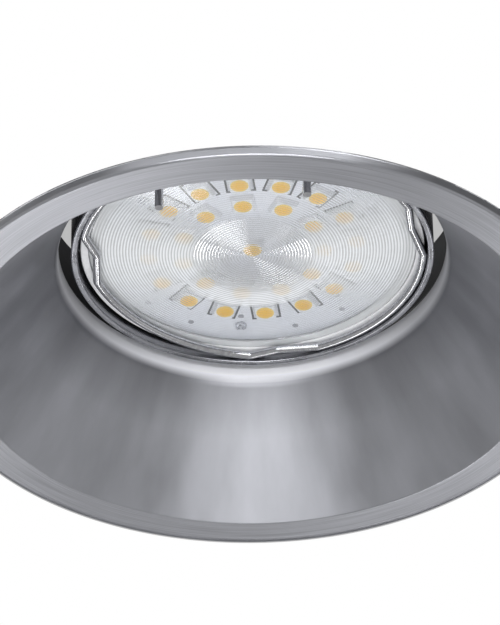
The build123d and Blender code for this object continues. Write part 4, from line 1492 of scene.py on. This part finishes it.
def bracket_mesh():
    """Foot on the trim's pad with two ears for the hinge pin."""
    half_height = (bracket_high.z - bracket_low.z) / 2
    foot = rectangle(-bracket_high.y, bracket_high.y, half_height, bracket_corner)
    shape = prism(foot, 0, sheet, foot_place, sheet_edge)
    root = -hinge_offset - ear_root
    ear = hull([(root, -ear_root_half_height), (root, ear_root_half_height),
                *arc(ear_radius, 0, 360, pivot_sides)])
    for low in (-ear_inner - sheet, ear_inner):
        prism(ear, low, low + sheet, hinge_place, sheet_edge, shape=shape)
    return shape


def hinge_pin_mesh():
    """Pin with a riveted head at each end."""
    reach = ear_inner + sheet
    end = reach + hinge_head_height
    return lathe(walls(
        (hinge_head_radius, -end, rivet_round, -reach, fine_round),
        (hinge_radius, -reach, 0, reach, 0),
        (hinge_head_radius, reach, fine_round, end, rivet_round),
    ), pin_sides, hinge_place)


def arm_mesh():
    """Arm: two lugs with heels on the pin, a plate and a tongue for the sleeve."""
    lug = hull([*arc(lug_radius, 0, 360, pivot_sides), (arm_cheek_length, arm_plate_height),
                (arm_cheek_length, arm_plate_top)])
    heel = [(-heel_reach, -heel_top), (-heel_inset, -heel_top), (-hinge_radius, -heel_bottom),
            (-heel_reach, -heel_bottom)]
    shape = bmesh.new()
    for low in (-lug_outer, lug_inner):
        prism(lug, low, low + sheet, arm_place, sheet_edge, shape=shape)
        prism(heel, low, low + sheet, hinge_place, thin_edge, shape=shape)
    side = [(arm_plate_start, lug_outer, 0), (arm_shoulder, lug_outer, arm_corner),
            (arm_shoulder, tongue_half_width, deep_round),
            (arm_length, tongue_half_width, tongue_round)]
    plate = rounded([*[(x, -y, radius) for x, y, radius in side], *side[::-1]])
    return prism(plate, arm_plate_height, arm_plate_top, plate_place, sheet_edge, shape=shape)


def sleeve_mesh():
    """Soft cap over the tongue."""
    cover = sleeve_gap + sleeve_wall
    block = rectangle(sleeve_start, arm_length + cover, tongue_half_width + cover)
    low, high = arm_plate_height - cover, arm_plate_top + cover
    return prism(block, low, high, plate_place, sleeve_edge_round)


def coil_points(sign):
    """Centre line of the torsion spring: fixed leg, turns round the pin, arm leg."""
    def spot(turned_by):
        angle = math.radians(180 - turned_by)
        drift = coil_pitch * turned_by / 360 - coil_length / 2
        return hinge + Vector((coil_radius * math.cos(angle), drift, coil_radius * math.sin(angle)))

    def heading(turned_by):
        angle = math.radians(180 - turned_by)
        x, z = coil_radius * math.sin(angle), -coil_radius * math.cos(angle)
        return Vector((x, coil_pitch / full_turn, z)).normalized()

    count = int(coil_sweep / coil_step)
    line = [
        spot(0) - heading(0) * coil_fixed_leg,
        *[spot(coil_sweep * k / count) for k in range(count + 1)],
        spot(coil_sweep) + heading(coil_sweep) * coil_arm_leg,
    ]
    return [Vector((sign * p.x, p.y, p.z)) for p in line]


for side, sign in (("right", 1), ("left", -1)):
    for name, make, finish, body_name, node in (
        ("bracket", bracket_mesh, "zinc_steel", "housing", f"clip_bracket_{side}"),
        ("pin", hinge_pin_mesh, "fastener_steel", "housing", f"hinge_pin_{side}"),
        ("arm", arm_mesh, "zinc_steel", f"clip_{side}", f"clip_arm_{side}"),
        ("sleeve", sleeve_mesh, "sleeve_rubber", f"clip_{side}", f"clip_sleeve_{side}"),
    ):
        keep(f"{side}_clip_{name}", make(), body_name, node, finish, mirrored=sign < 0)
    spring_name = f"{side}_clip_spring"
    coil = wire_along(spring_name, coil_points(sign), coil_wire_radius, coil_sides, "spring_steel")
    spring = keep(spring_name, coil, None, f"clip_spring_{side}", "spring_steel")
    blend_reach = coil_length / 2 - coil_wire_radius
    -blend_reach * MM
    blend_reach * MM
    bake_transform(spring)

bracket_spots = [(sign * foot_face, offset, bracket_high.z - bracket_screw_drop)
                 for sign in (-1, 1) for offset in (-bracket_screw_offset, bracket_screw_offset)]
bracket_aims = [(math.copysign(1, spot[0]), 0, 0) for spot in bracket_spots]
screw_set("bracket_screw_set", bracket_screw_sizes, sheet, bracket_spots, bracket_aims,
          "housing", "bracket_screws")

# Inner pieces that stay as packed
for node, finish in (
    ("driver_board", "driver_green"),
    ("driver_capacitor", "driver_black"),
    ("driver_bridge", "driver_black"),
    ("driver_choke", "choke_copper"),
    ("holder_contacts", "contact_brass"),
    ("terminal_blocks", "contact_brass"),
    ("terminal_screws", "contact_brass"),
):
    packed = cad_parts[node]
    packed.data.materials.clear()
    packed.data.materials.append(finishes[finish])


# Stage: one pale floor seen from above, one white ceiling seen from below, open under the flange

tilt = math.radians(camera_drop_angle)
ahead = Vector((0, math.cos(tilt), math.sin(tilt)))
eye = -ahead * camera_distance


def flange_outline(drop):
    """The flange's outline as the camera sees it, on a plane below its face."""
    spots = []
    for height in (0, flange_thickness):
        for p in arc(flange_radius + stage_gap, 0, 360, outline_sides)[:-1]:
            sight = Vector((p.x, p.y, height)) - eye
            spots.append((eye + sight * (drop + eye.z) / -sight.z).xy)
    return hull(spots)


def stage_finish(name):
    """Pale matt sheet."""
    finish, tree, shader = new_finish(name)
    dress(shader, grain(tree, size=30.0), dark=grey(0.78), light=grey(0.80), roughness=(0.6, 0.7))
    return finish, tree, shader


def stage_sheet(name, drop, finish):
    """Wide flat sheet a little below the flange's face, open where the flange is seen."""
    shape = bmesh.new()
    inner = flange_outline(drop)
    inner_loop = [shape.verts.new((p.x, p.y, -drop)) for p in inner]
    outer_loop = [shape.verts.new((*(p.normalized() * stage_radius), -drop)) for p in inner]
    wall(shape, outer_loop, inner_loop)
    bmesh.ops.scale(shape, vec=(MM, MM, MM), verts=shape.verts)
    mesh = mesh_from(name, shape)
    mesh.materials.append(finish)
    placed(name, mesh)


pale_floor = stage_finish("pale_floor")[0]
white_ceiling, tree, shader = stage_finish("white_ceiling")
white = add(tree, "Emission", {"Color": (1, 1, 1, 1), "Strength": 1.0})
camera_ray = add(tree, "LightPath", give="Is Camera Ray")
mixed = add(tree, "MixShader", {0: camera_ray, 1: Field(shader.outputs[0]), 2: white})
tree.links.new(mixed.socket, tree.nodes["Material Output"].inputs["Surface"])
stage_sheet("floor_top", floor_drop, pale_floor)
stage_sheet("ceiling_underside", ceiling_drop, white_ceiling)

# World: white to the camera, a soft studio round the object
world = bpy.data.worlds.new("studio")
scene.world = world
world.use_nodes = True
sky = world.node_tree
heading = add(sky, "TexCoord", give="Generated")
rise = heading.parts()[2]
aside = heading.vector("DOT_PRODUCT", studio_side_way, "Value")


def pick(ray, other, chosen):
    """Level that is one thing for a kind of ray and another for the rest."""
    return add(sky, "Mix", {0: add(sky, "LightPath", give=f"Is {ray} Ray"), 2: other, 3: chosen})


mirrored = aside.graded(*mirrored_side) * rise.graded(*mirrored_over)
level = pick("Glossy", rise.graded(*studio_round), mirrored)
level = pick("Transmission", level, studio_through)
seen = rise.graded(*seen_below).maths("MINIMUM", rise.graded(*seen_above))
background = sky.nodes["Background"]
background.inputs["Color"].default_value = (1, 1, 1, 1)
drive(background, "Strength", pick("Camera", level, seen))

# Soft lights: name, place, target, width, height, power
for name, place, target, width, height, power in (
    ("front_below", (-40, -640, -560), (0, 0, 10), 420, 420, 0.42),
    ("front_low", (0, -720, -250), (0, 0, 18), 700, 120, 2.9),
    ("left_below", (-304, 1172, -1464), (0, 0, 0), 450, 450, 2.1),
    ("right_below", (304, 1172, -1464), (0, 0, 0), 160, 160, 0.16),
    ("far_left_below", (-230, 740, -540), (0, 0, 20), 55, 260, 0.42),
    ("far_right_below", (230, 740, -540), (0, 0, 20), 55, 260, 0.42),
    ("front_above", (-70, -800, 590), (0, 0, 0), 1300, 200, 2.0),
    ("key_above", (350, -350, 1100), (0, 0, 40), 500, 500, 4.5),
    ("fill_above", (-400, 300, 1000), (0, 0, 40), 600, 600, 2.5),
):
    lamp = bpy.data.lights.new(name, "AREA")
    lamp.shape = "RECTANGLE"
    lamp.size, lamp.size_y = width * MM, height * MM
    lamp.energy = power
    holder = placed(name, lamp)
    holder.location = Vector(place) * MM
    holder.rotation_euler = (Vector(target) - Vector(place)).to_track_quat("-Z", "Y").to_euler()
    holder.visible_camera = False

# Camera at the photograph's viewing angle
upwards = Vector((0, -math.sin(tilt), math.cos(tilt)))
rightwards = ahead.cross(upwards)
right = rightwards * math.cos(photo_roll) - upwards * math.sin(photo_roll)
up = rightwards * math.sin(photo_roll) + upwards * math.cos(photo_roll)
aim_right = (photo_origin_px[0] - photo_width / 2) / photo_focal_px
aim_up = (photo_height / 2 - photo_origin_px[1]) / photo_focal_px
axis = (ahead - right * aim_right - up * aim_up).normalized()
right = (right - axis * right.dot(axis)).normalized()
up = right.cross(axis)
view = bpy.data.cameras.new("photo_view")
view.sensor_fit = "VERTICAL"
view.sensor_height = sensor_height
view.lens = photo_focal_px / photo_height * sensor_height
view.clip_start = near_clip * MM
camera = placed("photo_view", view)
camera_turn = Matrix((right, up, -axis)).transposed().to_4x4()
camera.matrix_world = Matrix.Translation(eye * MM) @ camera_turn
scene.camera = camera
scene.view_settings.view_transform = "Standard"
